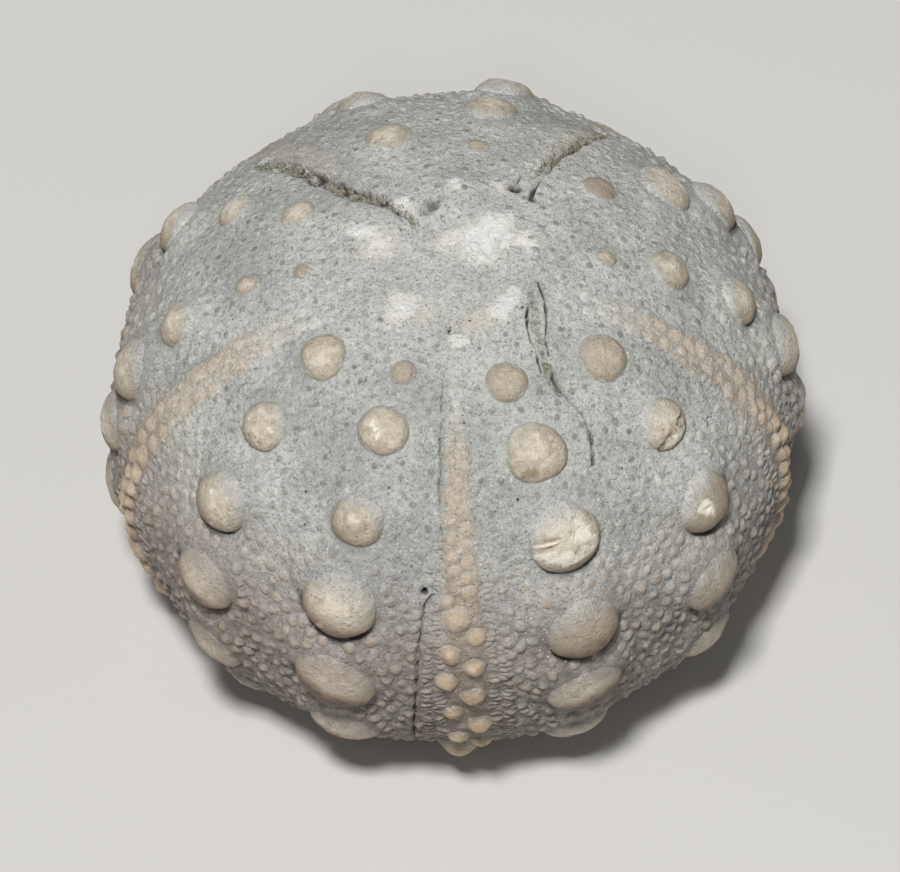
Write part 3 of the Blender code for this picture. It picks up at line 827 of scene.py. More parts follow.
def worn_head(name, order, down, aside, rise):
    """Lower a head's height where it is broken or cracked; also give those masks, painted glints
    too.
    """
    local = np.stack([down, aside, np.full(len(down), float(order))], axis=1)
    edge = 0.45 * lumps(local, 0.30, 14) + 0.35 * lumps(local, 0.12, 18)
    ledges = np.round(3 * lumps(local * np.array([3.2, 0.6, 1]), 0.5, 15)) / 3
    chip, dent = np.zeros((2, len(down)))
    for at_down, at_aside, half_down, half_aside, depth, white in CROWN_BREAKS.get(name, ()):
        gap = np.hypot((down - at_down) / half_down, (aside - at_aside) / half_aside) + edge
        inside = 1 - smooth(0.6, 1.25, gap)
        chip = np.maximum(chip, inside * white)
        dent = np.maximum(dent, inside * (1 - white))
        rise = rise - depth * inside * (0.7 + 0.6 * ledges)
    if name in CROWN_SPLITS:
        start, end, width, depth = CROWN_SPLITS[name]
        run = np.subtract(end, start)
        along = (down - start[0]) * run[0] + (aside - start[1]) * run[1]
        share = np.clip(along / (run @ run), 0, 1)
        gap = np.hypot(down - start[0] - share * run[0], aside - start[1] - share * run[1])
        inside = 1 - smooth(0.2, 1.0, np.abs(gap + 0.15 * edge) / (width / 2))
        rise = rise - depth * inside
        dent = np.maximum(dent, inside)
        chip = chip * (1 - inside)
    return rise, chip, dent


def cap_faces(start, sides, rings):
    """Faces of a cap whose points begin at start: a fan, rings of quads, and its floor."""
    faces = []
    for side in range(sides):
        after = (side + 1) % sides
        faces.append((start, start + 1 + side, start + 1 + after))
        for ring in range(rings - 1):
            inner = start + 1 + ring * sides
            outer = inner + sides
            faces.append((inner + side, outer + side, outer + after, inner + after))
    rim = start + 1 + (rings - 1) * sides
    faces.append(tuple(rim + side for side in reversed(range(sides))))
    return faces


def crown_mesh():
    """All the heads as one mesh, each a rounded cap whose rim tucks under the mud."""
    points, faces, masks = [], [], []
    start = 0
    for order, (name, angle, azimuth, radius, height, domed) in enumerate(tubercles()):
        radius = radius * CROWN_SPREAD
        sides = int(np.clip(2 * math.pi * radius / CROWN_POINT_STEP, *CROWN_SIDES))
        rings = int(np.clip(1.5 * radius / CROWN_POINT_STEP, *CROWN_RINGS))
        section = np.radians(np.linspace(0, CROWN_UNDERCUT, rings + 1))[1:]
        section_across = np.sin(section) ** (2 / section_bulge(domed))
        bearing = np.arange(sides) * 2 * math.pi / sides
        reach = np.concatenate([[0], np.repeat(section_across, sides)])
        turn = np.concatenate([[0], np.tile(bearing, rings)])
        up = np.concatenate([[1], np.repeat(np.cos(section), sides)])
        down, aside = reach * np.cos(turn), reach * np.sin(turn)
        rise = height * np.maximum(up, 0) + CROWN_TUCK * np.minimum(up, 0) * 2
        shell = radius * np.stack([down, aside, up], axis=1) + order * PATTERN_SHIFT
        on_top = smooth(-0.1, 0.3, up)
        rise += (0.085 * lumps(shell, 1.0, 12) + 0.050 * lumps(shell, 0.4, 13)) * on_top
        nipple = NIPPLES.get(name, 0)
        rise += nipple * (1 - smooth(0.20, 0.42, reach) - 0.5 * smooth(0.35, 0.50, reach))
        rise += nipple * 0.5 * smooth(0.50, 0.75, reach)
        rise, chip, dent = worn_head(name, order, down, aside, rise)
        rim = np.stack([np.cos(turn), np.sin(turn), 0 * turn + order], axis=1)
        wobble = 1 + 0.05 * lumps(rim, 0.9, 11) + 0.012 * lumps(rim, 0.3, 19)
        places = around(angle, azimuth, reach * wobble * radius, turn)
        points.append(on_test(*places, rise))
        faces.extend(cap_faces(start, sides, rings))
        start += 1 + rings * sides
        brownness = CROWN_BROWNNESS.get(name, (order * 0.618) % 1)
        # fall: the side of a head where shade is painted, downhill and leaning towards +X or -X
        masks.append({"above": rise - mud_surface(*places)[0], "chip": chip, "dent": dent,
                      "fall": (down + shadow_lean(azimuth) * aside) * domed, "reach": reach,
                      "brownness": np.full(len(up), brownness)})
    masks = {label: np.concatenate([head[label] for head in masks]) for label in masks[0]}
    points = np.vstack(points)
    masks.update(stains(points / MM - (0, 0, REST_DEPTH)))
    return mesh_from("tubercle_crowns", points, faces, masks)


CROWN_CREAM = paint(208, 199, 182)
CROWN_BEIGE = paint(176, 165, 145)
CROWN_SHADE = paint(76, 65, 52)
CROWN_PINK = paint(206, 184, 168)
CROWN_BROWN_AND_SHADE = paint(142, 128, 108)
CROWN_OLIVE_AND_RIM_SHADE = paint(150, 140, 120)
CROWN_WARM_LOW_SHADE = paint(186, 152, 122)
CROWN_HIGHLIGHT = paint(226, 217, 199)
CHIP_AND_GLINT_WHITE = paint(238, 232, 216)


def crown_finish():
    """Waxy calcite: cream and beige mottling, painted olive and brown shade, white breaks, muddy
    edge.
    """
    finish = Finish("waxy_calcite")
    mottle = finish.noise(0.42, 4, 0.65)
    spots = finish.noise(0.16, 3, 0.65)
    brownness = finish.mask("brownness")
    above = finish.mask("above")
    fall = finish.mask("fall")
    reach = finish.mask("reach")
    colour = finish.mix((mottle - brownness * 0.22).rise(0.30, 0.58), CROWN_BEIGE, CROWN_CREAM)
    colour = finish.mix(spots.rise(0.54, 0.68) * 0.4, colour, CROWN_PINK)
    colour = finish.mix(spots.rise(0.44, 0.32) * 0.6, colour, CROWN_OLIVE_AND_RIM_SHADE)
    colour = finish.mix(finish.cells(0.26).rise(0.22, 0.06) * 0.45, colour, CHIP_AND_GLINT_WHITE)
    # a painted highlight over the top of each head
    highlight = (mottle * 0.8 - reach).rise(-0.25, 0.25)
    colour = finish.mix(highlight * (0.6 - brownness * 0.45), colour, CROWN_HIGHLIGHT)
    # an olive ring round the rim, partly painted shade where the head turns away
    ring = (reach + mottle * 0.5 - 0.25).rise(0.55, 1.10)
    colour = finish.mix(ring * (brownness * 0.60 + 0.20), colour, CROWN_OLIVE_AND_RIM_SHADE)
    colour = finish.mix(brownness.rise(0.6, 1.1) * 0.6, colour, CROWN_BROWN_AND_SHADE)
    # painted shade on a head's low side, deeper further down the test, in brown, rust and dark
    # brown
    under = finish.mask("dirt")
    low_side = fall + mottle * 0.7 - 0.35 + under * 0.5
    brown_shade = low_side.rise(0.15, 0.95)
    colour = finish.mix(brown_shade * 0.6, colour, CROWN_BROWN_AND_SHADE)
    colour = finish.mix(brown_shade * finish.mask("warm"), colour, CROWN_WARM_LOW_SHADE)
    colour = finish.mix(low_side.rise(0.28, 0.92) * (under * 0.5 + 0.42), colour, CROWN_SHADE)
    chip = finish.mask("chip")
    colour = finish.mix(finish.mask("dent") * 0.7, colour, CROWN_BROWN_AND_SHADE)
    # white breaks, and the painted glints
    colour = finish.mix((chip + spots * 0.5 - 0.25).rise(0.05, 0.85) * 0.92, colour, CHIP_AND_GLINT_WHITE)
    ragged = above + spots * 0.10 - 0.05
    # a thin olive line, partly painted shade, where the head meets the mud
    colour = finish.mix(ragged.rise(0.22, 0.07) * 0.6 * (1 - chip), colour, CROWN_OLIVE_AND_RIM_SHADE)
    mud_colour, grain = speckled_mud(finish)
    uphill = (mottle * 0.5 - fall - 0.25).rise(-0.15, 0.6)
    veil = (above + grain * 0.4 - 0.2).rise(0.52, 0.05) * uphill * (1 - chip)
    colour = finish.mix(veil * (0.85 - under * 0.40), colour, mud_colour)
    film = ragged.rise(0.12, 0.02)
    colour = finish.mix(film, colour, mud_colour)
    finish.wire("Base Color", colour)
    finish.wire("Roughness", mottle * 0.3 + film * 0.3 + 0.34)
    finish.wire("Specular IOR Level", 0.4)
    pitting = finish.bump(finish.cells(0.24).rise(0.0, 0.4), 0.035, finish.bump(mottle, 0.07))
    rough = finish.bump(spots, 0.07, pitting)
    finish.wire("Normal", finish.bump(grain, film * 0.05 + 0.025, rough))
    return finish.material


crowns = crown_mesh()
crowns.data.materials.append(crown_finish())
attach(crowns, "root")

# ---------------------------------------------------------------------------- granules
# Small knobs that cover the plates between the tubercles and ring the larger ones. They are part
# of the plates: nearly drowned in mud near the apex, and clear, brown-topped domes further down.
GRANULE_TOP_WIDTH = 0.38
GRANULE_LOW_WIDTH = 0.60
GRANULE_TOP_GAP = 0.76
GRANULE_LOW_GAP = 0.72
GRANULE_FIRST_ANGLE = 15
GRANULE_LAST_ANGLE = 151
RINGED_RADIUS = 0.75            # the least radius of a tubercle that granules ring
RINGS = 2                       # of granules around it
RING_GAP = 0.62                 # from one ring to the next
RING_PITCH = 0.63               # and from one granule to the next along it
FILL_STEP = 0.30                # between the places tried for all the others
KNOB_OVERHANG = math.radians(104)   # how far round from its top a knob's section runs
KNOB_SKIRT = 1.6                # foot of a knob that flares into the mud, in knob radii
RAY_START = 1.5                 # how far over the ground a knob looks down for it (mm)
PORE_TOP_WIDTH = 0.25           # of the strip of pore ridges on each side of a band
PORE_LOW_WIDTH = 1.05


def pore_edge(angle):
    """Distance from a band's middle to the outer edge of its pore ridges."""
    widening = (PORE_LOW_WIDTH - PORE_TOP_WIDTH) * smooth(50, 95, angle)
    return band_half(angle) + PORE_TOP_WIDTH + widening


def clear_of_cracks(points, margin):
    """Whether each point is this far (mm) outside every crack, crumbled strip and hole."""
    free = np.ones(len(points), bool)
    for width, _, _, *places in FISSURES + CRUMBLES:
        free &= line_distance(points, places) > width / 2 + margin
    for angle, azimuth, width, *_ in PITS:
        gap = np.linalg.norm(points - bare_points(angle, azimuth), axis=1)
        free &= gap > width / 2 + margin
    return free


def granule_places():
    """Rings of granules around the tubercles, then an even filling between them."""
    shake = np.random.default_rng(21)
    angles, azimuths = [], []
    for _, angle, azimuth, radius, *_ in tubercles():
        if radius < RINGED_RADIUS:
            continue
        for number in range(RINGS):
            reach = radius * 1.2 + 0.34 + number * RING_GAP
            count = int(round(2 * math.pi * reach / RING_PITCH))
            turns = np.arange(count) + shake.uniform(-0.15, 0.15, count)
            ring = around(angle, azimuth, reach, turns * 2 * math.pi / count)
            angles.append(ring[0])
            azimuths.append(ring[1])
    fill = rows_of_places(lambda angle: FILL_STEP, GRANULE_LAST_ANGLE + 1, 22)
    order = shake.permutation(len(fill[0]))
    angles = np.concatenate(angles + [fill[0][order]])
    azimuths = np.concatenate(azimuths + [fill[1][order]])
    points = bare_points(angles, azimuths)
    free = (angles > GRANULE_FIRST_ANGLE) & (angles < GRANULE_LAST_ANGLE)
    for _, angle, azimuth, radius, *_ in tubercles():
        gap = np.linalg.norm(points - bare_points(angle, azimuth), axis=1)
        free &= gap > radius * 1.15 + 0.22
    _, aside, _ = band_share(points, angles)
    free &= np.abs(aside) > pore_edge(angles) + 0.15 - 0.5 * (1 - smooth(22, 32, angles))
    free &= clear_of_cracks(points, 0.16)
    angles, azimuths, points = angles[free], azimuths[free], points[free]
    gaps = GRANULE_TOP_GAP + (GRANULE_LOW_GAP - GRANULE_TOP_GAP) * smooth(45, 75, angles)
    gaps = gaps * shake.uniform(0.78, 1.0, len(gaps))
    stays = thinned(points, gaps)
    return angles[stays], azimuths[stays]


def vector_sum(first, second):
    """Two vectors added."""
    return first.add("ShaderNodeVectorMath", {"operation": "ADD"}, {0: first, 1: second})


def scaled(vector, factor):
    """A vector made this many times as long."""
    return vector.add("ShaderNodeVectorMath", {"operation": "SCALE"}, {0: vector, "Scale": factor})


def upward_part(vector):
    """The third number of a vector."""
    return vector.add("ShaderNodeSeparateXYZ", {}, {"Vector": vector}, "Z")


def knob_shape(tree, inputs):
    """A cone bent into a dome or, with Flare, into a bell whose foot runs out into the ground."""
    cone = add_node(tree, "GeometryNodeMeshCone", {"fill_type": "NGON"},
                    {"Vertices": inputs["Sides"], "Side Segments": inputs["Rings"],
                     "Fill Segments": 1, "Radius Top": 0.0, "Radius Bottom": 1.0, "Depth": 1.0},
                    "Mesh")
    foot = Wire(tree, cone.socket.node.outputs["Bottom"])
    cone = add_node(tree, "GeometryNodeSetShadeSmooth", {"domain": "FACE"},
                    {"Geometry": cone, "Shade Smooth": True})
    cone = add_node(tree, "GeometryNodeSetShadeSmooth", {"domain": "FACE"},
                    {"Geometry": cone, "Selection": foot, "Shade Smooth": False})
    spot = add_node(tree, "GeometryNodeInputPosition", {}, {})
    level = add_node(tree, "ShaderNodeVectorMath", {"operation": "MULTIPLY"},
                     {0: spot, 1: (1, 1, 0)})
    spoke = add_node(tree, "ShaderNodeVectorMath", {"operation": "NORMALIZE"}, {0: level})
    run = 1 - upward_part(spot)
    bend = run * inputs["Overhang"]
    slope = run * math.pi
    rim = run * run * run * run
    flare, steep = inputs["Flare"], 1 - inputs["Flare"]
    reach = bend.math("SINE", bend, 0.0) * steep + run * flare * KNOB_SKIRT
    bell = slope.math("COSINE", slope, 0.0) * 0.62 + 0.38 - rim * rim * 0.5
    crest = bend.math("COSINE", bend, 0.0) * steep + bell * flare
    upright = add_node(tree, "ShaderNodeCombineXYZ", {}, {"Z": crest})
    knob = add_node(tree, "GeometryNodeSetPosition", {},
                    {"Geometry": cone, "Position": vector_sum(scaled(spoke, reach), upright)})
    crest_now = upward_part(add_node(tree, "GeometryNodeInputPosition", {}, {}))
    return add_node(tree, "GeometryNodeStoreNamedAttribute",
                    {"data_type": "FLOAT", "domain": "POINT"},
                    {"Geometry": knob, "Name": "crest", "Value": crest_now})


def knob_tree():
    """Geometry nodes that raise a small knob at every point, following the ground under it."""
    tree = bpy.data.node_groups.new("small_knobs", "GeometryNodeTree")
    face = tree.interface
    face.new_socket("Points", in_out="INPUT", socket_type="NodeSocketGeometry")
    for label, kind in (("Ground", "Object"), ("Sides", "Int"), ("Rings", "Int"),
                        ("Overhang", "Float"), ("Flare", "Float"), ("Unevenness", "Float"),
                        ("Lump Size", "Float"), ("Material", "Material")):
        face.new_socket(label, in_out="INPUT", socket_type="NodeSocket" + kind)
    face.new_socket("Knobs", in_out="OUTPUT", socket_type="NodeSocketGeometry")
    group = tree.nodes.new("NodeGroupInput")
    inputs = {socket.name: Wire(tree, socket) for socket in group.outputs if socket.name}
    kept = {label: add_node(tree, "GeometryNodeInputNamedAttribute", {"data_type": kind},
                            {"Name": label})
            for label, kind in (("away", "FLOAT_VECTOR"), ("long_way", "FLOAT_VECTOR"),
                                ("half_size", "FLOAT_VECTOR"), ("crest", "FLOAT"),
                                ("sunk", "FLOAT"))}
    stand = add_node(tree, "FunctionNodeAlignRotationToVector", {"axis": "Z"},
                     {"Vector": kept["away"]})
    stand = add_node(tree, "FunctionNodeAlignRotationToVector", {"axis": "X", "pivot_axis": "Z"},
                     {"Rotation": stand, "Vector": kept["long_way"]})
    knobs = add_node(tree, "GeometryNodeInstanceOnPoints", {},
                     {"Points": inputs["Points"], "Instance": knob_shape(tree, inputs),
                      "Rotation": stand, "Scale": kept["half_size"]})
    knobs = add_node(tree, "GeometryNodeRealizeInstances", {}, {"Geometry": knobs})
    spot = add_node(tree, "GeometryNodeInputPosition", {}, {})
    above = add_node(tree, "ShaderNodeVectorMath", {"operation": "MULTIPLY_ADD"},
                     {0: kept["away"], 1: (RAY_START * MM,) * 3, 2: spot})
    ground = add_node(tree, "GeometryNodeObjectInfo", {}, {"Object": inputs["Ground"]}, "Geometry")
    landed = add_node(tree, "GeometryNodeRaycast", {},
                      {"Target Geometry": ground, "Source Position": above,
                       "Ray Direction": scaled(kept["away"], -1.0),
                       "Ray Length": 3 * RAY_START * MM}, "Hit Position")
    lift = kept["crest"] * upward_part(kept["half_size"]) - kept["sunk"]
    raised = vector_sum(landed, scaled(kept["away"], lift))
    swirl = add_node(tree, "ShaderNodeTexNoise", {},
                     {"Scale": inputs["Lump Size"], "Detail": 1.0, "Vector": raised}, 1)
    centred = add_node(tree, "ShaderNodeVectorMath", {"operation": "SUBTRACT"},
                       {0: swirl, 1: (0.5,) * 3})
    loose = inputs["Unevenness"] * kept["crest"].at_least(0.0)
    knobs = add_node(tree, "GeometryNodeSetPosition", {},
                     {"Geometry": knobs, "Position": raised, "Offset": scaled(centred, loose)})
    knobs = add_node(tree, "GeometryNodeSetMaterial", {},
                     {"Geometry": knobs, "Material": inputs["Material"]})
    end = tree.nodes.new("NodeGroupOutput")
    tree.links.new(knobs.socket, end.inputs["Knobs"])
    return tree


def grow_knobs(name, angles, azimuths, sizes, sink, material, settings, masks, turns=None):
    """Run the knob nodes on these places and keep the result as a plain mesh."""
    height, _ = mud_surface(angles, azimuths)
    away, down, side = directions(angles, azimuths)
    turns = np.zeros(len(angles)) if turns is None else turns
    long_way = side * np.cos(turns)[:, None] + down * np.sin(turns)[:, None]
    mesh = bpy.data.meshes.new(name)
    mesh.from_pydata(on_test(angles, azimuths, height).tolist(), [], [])
    for label, vectors in (("away", away), ("long_way", long_way), ("half_size", sizes * MM)):
        mesh.attributes.new(label, "FLOAT_VECTOR", "POINT").data.foreach_set(
            "vector", np.float32(vectors).ravel())
    store_masks(mesh, {"sunk": sink * MM, **masks})
    source = in_scene(name + "_places", mesh)
    modifier = source.modifiers.new("knobs", "NODES")
    modifier.node_group = knobs_on_plates
    values = {"Material": material, "Ground": test, **settings}
    for socket in knobs_on_plates.interface.items_tree:
        if socket.in_out == "INPUT" and socket.name in values:
            modifier[socket.identifier] = values[socket.name]
    evaluated = source.evaluated_get(bpy.context.evaluated_depsgraph_get())
    grown = bpy.data.meshes.new_from_object(evaluated)
    grown.name = name
    for label in ("away", "long_way", "half_size", "sunk"):
        if label in grown.attributes:
            grown.attributes.remove(grown.attributes[label])
    if material.name not in grown.materials:
        grown.materials.append(material)
    spots = np.empty(3 * len(grown.vertices), np.float32)
    grown.vertices.foreach_get("co", spots)
    store_masks(grown, stains(spots.reshape(-1, 3) / MM - (0, 0, REST_DEPTH)))
    bpy.data.objects.remove(source)
    return in_scene(name, grown)


GRANULE_BROWN = paint(178, 160, 138)


def granule_finish():
    """The same grey mud, rubbed off the granules' tops to beige calcite; painted shade between them
    low down.
    """
    finish = Finish("granule_stone")
    colour, grain = speckled_mud(finish)
    crest = finish.mask("crest")
    patch = finish.noise(1.4, 2, 0.5)
    top = finish.mix(patch.rise(0.35, 0.65), GRANULE_BROWN, BAND_BEIGE)
    colour = finish.mix(crest.rise(0.35, 1.0) * finish.mask("worn"), colour, top)
    # painted shade in the valleys between the knobs, low on the test
    valley_shade = (crest + grain * 0.8 - 0.4).rise(0.45, -0.1) * finish.mask("dirt")
    colour = finish.mix(valley_shade * 0.68, colour, MUD_DARK)
    colour = finish.mix(finish.mask("drowned") * crest.rise(0.1, 0.8) * 0.55, colour, MUD_DARK)
    finish.wire("Base Color", colour)
    finish.wire("Roughness", 0.80)
    finish.wire("Specular IOR Level", 0.3)
    finish.wire("Normal", mud_bump(finish, grain, 0.8))
    return finish.material


knobs_on_plates = knob_tree()
granule_stone = granule_finish()
granule_angles, granule_azimuths = granule_places()
for name, first, last in (("upper_granules", 0, 62), ("side_granules", 62, 100),
                          ("lower_granules", 100, 180)):
    chosen = (granule_angles >= first) & (granule_angles < last)
    angles, azimuths = granule_angles[chosen], granule_azimuths[chosen]
    count = len(angles)
    vary = np.random.default_rng(23)
    low = smooth(38, 72, angles)
    width = GRANULE_TOP_WIDTH + (GRANULE_LOW_WIDTH - GRANULE_TOP_WIDTH) * low
    width = width * vary.uniform(0.75, 1.2, count)
    tall = width * (0.24 + 0.05 * low) * vary.uniform(0.6, 1.15, count)
    sizes = np.stack([width / 2 * vary.uniform(0.95, 1.2, count), width / 2, tall], axis=1)
    piece = grow_knobs(
        name, angles, azimuths, sizes, 0 * tall, granule_stone,
        {"Sides": 8, "Rings": 5, "Overhang": KNOB_OVERHANG, "Flare": 0.8,
         "Unevenness": 0.09 * MM, "Lump Size": 1 / (0.30 * MM)},
        {"worn": 0.05 + 0.90 * low * vary.uniform(0.25, 1.0, count),
         "drowned": (1 - low) * vary.uniform(0.3, 1.0, count)},
        vary.uniform(0, math.pi, count))
    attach(piece, "root")

# ---------------------------------------------------------------------------- ambulacral beads
# Two close rows of beads down each of the five narrow bands, between the pores of the tube feet.
# They grew on the small plates there, half a millimetre wide on top and two below the ambitus.
BEAD_FIRST_ANGLE = 24
BEAD_LAST_ANGLE = 150
# The larger beads at the foot of the front band: angle, azimuth, width
FRONT_BEADS = (
    (61.0, 1.4, 0.75), (63.2, -2.8, 0.80), (67.0, -1.2, 1.35), (71.6, 2.0, 1.00),
    (76.4, -2.7, 1.20), (80.5, 1.4, 1.10), (85.5, -3.4, 1.15), (91.1, 0.9, 1.30),
    (97.5, -2.6, 1.15), (103, 1.8, 1.30), (109, -2.0, 1.20), (114, 2.2, 1.2),
    (120.6, -2.0, 2.10), (130, 2.2, 1.60), (139, -1.5, 1.4))
BEAD_TAN = paint(192, 166, 134)
BEAD_CREAM = paint(212, 193, 166)


def bead_width(angle):
    """Width of a bead at this angle from the apex."""
    return np.interp(angle, (24, 45, 60, 72, 85, 95, 105, 117, 130, 142, 150),
                     (0.55, 0.66, 0.75, 0.9, 1.0, 1.1, 1.4, 1.9, 1.8, 1.5, 1.2))


def bead_places():
    """Beads straggling from side to side down each band, each overlapping the last."""
    shake = np.random.default_rng(31)
    found = list(FRONT_BEADS)
    for middle, _, broad in AMBULACRA:
        angle, side = BEAD_FIRST_ANGLE, 1
        last = BEAD_LAST_ANGLE if middle else FRONT_BEADS[0][0] - 2
        while angle < last:
            widen = float(broadened(broad, angle))
            width = float(bead_width(angle)) * shake.uniform(0.7, 1.15) * widen ** 0.5
            length, *_ = steepness(angle)
            radius, _ = test_profile(angle)
            offset = side * (0.18 + 0.20 * width) * shake.uniform(0.5, 1.3) * widen
            found.append((angle, middle + np.degrees(offset / radius), width))
            angle += 0.55 * width / length * shake.uniform(0.85, 1.3)
            side = -side
    angles, azimuths, widths = np.array(found, float).T
    free = clear_of_cracks(bare_points(angles, azimuths), 0.25)
    return angles[free], azimuths[free], widths[free]


def bead_finish():
    """The mud of the band, worn through to beige calcite on the tops of the beads."""
    finish = Finish("bead_calcite")
    mottle = finish.noise(0.6, 3, 0.55)
    crest = finish.mask("crest")
    colour, grain = speckled_mud(finish)
    top = finish.mix(mottle.rise(0.3, 0.7), BEAD_TAN, BEAD_CREAM)
    share = (crest + mottle * 0.8 - 0.4).rise(0.1, 0.9)
    colour = finish.mix(share * finish.mask("worn"), colour, top)
    finish.wire("Base Color", colour)
    finish.wire("Roughness", 0.7)
    finish.wire("Specular IOR Level", 0.35)
    finish.wire("Normal", mud_bump(finish, grain, 0.5))
    return finish.material


bead_angles, bead_azimuths, bead_widths = bead_places()
bead_calcite = bead_finish()
for name, first, last, flare in (("upper_beads", 0, 62, 1.0), ("lower_beads", 62, 180, 0.55)):
    chosen = (bead_angles >= first) & (bead_angles < last)
    angles, azimuths, widths = bead_angles[chosen], bead_azimuths[chosen], bead_widths[chosen]
    low = smooth(45, 85, angles)
    clear = band_share(bare_points(angles, azimuths), angles)[2]
    tall = widths * (0.17 + 0.15 * low) * clear ** 3
    sizes = np.stack([widths / 2, widths / 2, tall], axis=1)
    piece = grow_knobs(
        name, angles, azimuths, sizes, 0 * tall, bead_calcite,
        {"Sides": 16, "Rings": 7, "Overhang": KNOB_OVERHANG, "Flare": flare,
         "Unevenness": 0.20 * MM, "Lump Size": 1 / (0.5 * MM)},
        {"worn": 0.15 + 0.80 * low})
    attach(piece, "root")

# ---------------------------------------------------------------------------- pore ridges
# The pore plates on both sides of each band, edges of very thin limy plates lying one on the
# other. They read as short stacked ridges, sharper and wider further down.
RIDGE_PITCH = 0.33
RIDGE_LENGTH = 0.55             # the strips are filled with ridges about this long
RIDGE_LAP = 0.1                 # and overlap the band and the plates beside it
RIDGE_FIRST_ANGLE = 50.0
RIDGE_LAST_ANGLE = 150


def ridge_places():
    """Stacked short ridges in the two pore strips of each band."""
    shake = np.random.default_rng(41)
    found = []
    for middle, *_ in AMBULACRA:
        for side in (-1, 1):
            angle = RIDGE_FIRST_ANGLE
            while angle < RIDGE_LAST_ANGLE:
                length, *_ = steepness(angle)
                radius, _ = test_profile(angle)
                inner = float(band_half(angle)) - RIDGE_LAP
                outer = float(pore_edge(angle)) + RIDGE_LAP
                count = max(1, int(round((outer - inner) / RIDGE_LENGTH)))
                for spot in range(count):
                    share = spot + 0.5 + shake.uniform(-0.2, 0.2)
                    aside = inner + share * (outer - inner) / count
                    found.append((angle + shake.uniform(-0.35, 0.35) * RIDGE_PITCH / length,
                                  middle + side * np.degrees(aside / radius),
                                  (outer - inner) / count * shake.uniform(0.4, 0.75),
                                  shake.uniform(-0.5, 0.5) + 0.12 * side))
                angle += RIDGE_PITCH * shake.uniform(0.85, 1.2) / length
    return np.array(found).T


angles, azimuths, halves, turns = ridge_places()
sharp = smooth(50, 95, angles)
vary = np.random.default_rng(42)
tall = (0.05 + 0.09 * sharp) * vary.uniform(0.4, 1.4, len(angles))
sizes = np.stack([halves, np.full(len(halves), 0.5 * RIDGE_PITCH), tall], axis=1)
ridges = grow_knobs(
    "pore_ridges", angles, azimuths, sizes, 0 * tall, granule_stone,
    {"Sides": 8, "Rings": 3, "Overhang": KNOB_OVERHANG, "Flare": 0.8,
     "Unevenness": 0.14 * MM, "Lump Size": 1 / (0.3 * MM)},
    {"worn": 0.1 + 0.4 * sharp, "drowned": 0.2 - 0.2 * sharp}, turns)
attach(ridges, "root")

# ---------------------------------------------------------------------------- crumbs
# Grit caught in the cracks, crumbs of tan limestone and a few white calcite crystals, and small
# clusters of those crystals on the test. All are cemented where they lie.
CRUMBS_PER_MM = 16
TAN_SHARE = 0.95                # of the grit; the rest is white
CRYSTALS = 7                    # in a cluster
CRYSTAL_SPREAD = 0.35
CRYSTAL_SPOTS = ((69.7, 12.4), (72.4, 13.9), (76.9, 16.1), (78.3, 12.5), (80.9, 14.5), (74.7, 11.0),
                 (18.3, -32.3), (30.2, -26.7), (17, -150), (22, -141), (62, -20), (60, 30))


def crumb_places():
    """Scattered places along the crumbled strips, and little clusters of crystals."""
    shake = np.random.default_rng(51)
    angles, azimuths, white = [], [], []
    for width, _, grit, *places in CRUMBLES:
        middle = dense_line(places, 1 / (CRUMBS_PER_MM * grit))
        count = len(middle[0])
        stray = shake.normal(0, 0.30 * width, count)
        line = around(*middle, stray, shake.uniform(0, 2 * math.pi, count))
        angles.append(line[0])
        azimuths.append(line[1])
        white.append(shake.uniform(0, 1, count) > TAN_SHARE)
    for angle, azimuth in CRYSTAL_SPOTS:
        stray = np.abs(shake.normal(0, CRYSTAL_SPREAD, CRYSTALS))
        cluster = around(angle, azimuth, stray, shake.uniform(0, 2 * math.pi, CRYSTALS))
        angles.append(cluster[0])
        azimuths.append(cluster[1])
        white.append(np.ones(CRYSTALS, bool))
    angles, azimuths, white = (np.concatenate(values) for values in (angles, azimuths, white))
    points, free = bare_points(angles, azimuths), np.ones(len(angles), bool)
    for angle, azimuth, width, *_ in PITS:
        free &= np.linalg.norm(points - bare_points(angle, azimuth), axis=1) > 0.45 * width
    return angles[free], azimuths[free], white[free]


def crumb_finish():
    """Tan and grey grit, or clean white crystal where the crumb is calcite."""
    finish = Finish("crack_grit")
    white = finish.mask("white")
    patch = finish.noise(0.25, 2, 0.5)
    colour = finish.mix(patch.rise(0.4, 0.6), CRUMBLE_TAN, MUD_SHADE)
    colour = finish.mix(white, colour, BARE_WHITE)
    finish.wire("Base Color", colour)
    finish.wire("Roughness", 0.8 - white * 0.45)
    finish.wire("Specular IOR Level", 0.4)
    finish.wire("Normal", finish.bump(finish.noise(0.08, 2, 0.6), 0.04))
    return finish.material


angles, azimuths, white = crumb_places()
vary = np.random.default_rng(52)
half = vary.uniform(0.035, 0.10, len(angles)) * np.where(white, 0.45, 1.0)
sizes = np.stack([half, half * 0.8, half * 1.2], axis=1)
crumbs = grow_knobs(
    "crack_crumbs", angles, azimuths, sizes, half * 0.1, crumb_finish(),
    {"Sides": 5, "Rings": 2, "Overhang": math.radians(120), "Flare": 0.0,
     "Unevenness": 0.14 * MM, "Lump Size": 1 / (0.12 * MM)},
    {"white": white}, vary.uniform(0, math.pi, len(angles)))
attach(crumbs, "root")

# ---------------------------------------------------------------------------- floor, light, camera
# A plain pale floor under the fossil, a soft lamp high in front of it with a weak one lower down,
# and a wide weak one on each side.
FLOOR_HALF = 2.0                # metres
FLOOR_GREY = paint(206, 204, 200)
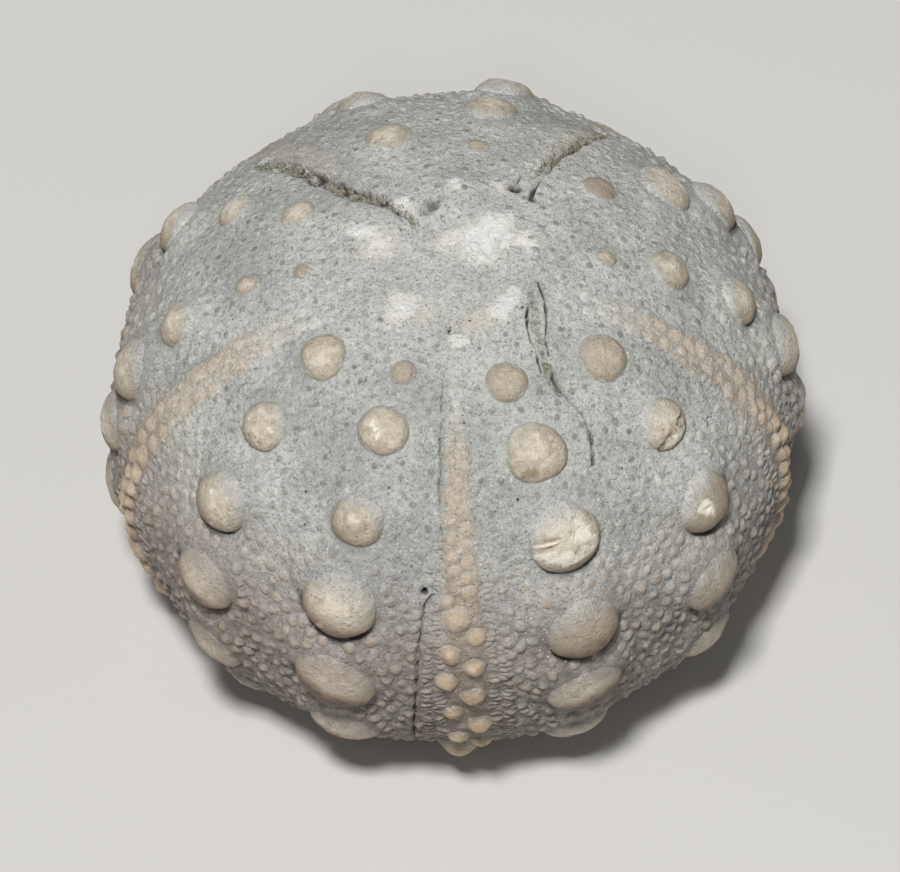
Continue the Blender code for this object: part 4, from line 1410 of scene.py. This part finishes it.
# Lamps: azimuth and elevation (degrees), distance and size (metres), power (watts)
LAMPS = {
    "key_lamp": (-18, 73, 0.60, 0.08, 3.6),
    "front_lamp": (-4, 50, 0.60, 0.05, 0.20),
    "left_fill": (-80, 35, 0.70, 0.45, 0.08),
    "right_fill": (85, 35, 0.70, 0.45, 0.08),
}
WORLD_STRENGTH = 0.07
CAMERA_ELEVATION = 55.5
CAMERA_ROLL = -2.944
CAMERA_DISTANCE = 0.300         # metres from the middle of the ambitus
CAMERA_LENS = 241.1
FRAME_OFFSET = (-0.12, -1.52)   # the frame's middle from the ambitus' middle, right and up (mm)

corners = np.array([(-1, -1, 0), (1, -1, 0), (1, 1, 0), (-1, 1, 0)]) * FLOOR_HALF
floor = mesh_from("floor", corners, [(0, 1, 2, 3)], {})
floor_finish = Finish("pale_floor")
floor_finish.wire("Base Color", FLOOR_GREY)
floor_finish.wire("Roughness", 0.9)
floor.data.materials.append(floor_finish.material)


def soft_lamp(name, azimuth, elevation, distance, size, power):
    """A square lamp turned to the fossil, from an azimuth and elevation in degrees."""
    lamp = bpy.data.lights.new(name, "AREA")
    lamp.size = size
    lamp.energy = power
    turn, tilt = math.radians(azimuth), math.radians(elevation)
    across = math.cos(tilt)
    away = Vector((math.sin(turn) * across, -math.cos(turn) * across, math.sin(tilt)))
    holder = in_scene(name, lamp)
    holder.location = Vector((0, 0, REST_DEPTH * MM)) + away * distance
    holder.rotation_euler = away.to_track_quat("Z", "Y").to_euler()


for name, values in LAMPS.items():
    soft_lamp(name, *values)

world = bpy.data.worlds.new("studio")
world.use_nodes = True
background = world.node_tree.nodes["Background"]
background.inputs["Color"].default_value = (1.0, 1.0, 1.0, 1.0)
background.inputs["Strength"].default_value = WORLD_STRENGTH
bpy.context.scene.world = world
bpy.context.scene.view_settings.view_transform = "Standard"

camera = in_scene("camera", bpy.data.cameras.new("camera"))
camera.data.lens = CAMERA_LENS
camera.data.sensor_width = 36
camera.data.clip_start = 0.01
tilt = Matrix.Rotation(math.radians(90 - CAMERA_ELEVATION), 4, "X")
roll = Matrix.Rotation(math.radians(CAMERA_ROLL), 4, "Z")
aim = Matrix.Translation((0, 0, REST_DEPTH * MM))
back = Matrix.Translation((FRAME_OFFSET[0] * MM, FRAME_OFFSET[1] * MM, CAMERA_DISTANCE))
camera.matrix_world = aim @ tilt @ roll @ back
bpy.context.scene.camera = camera
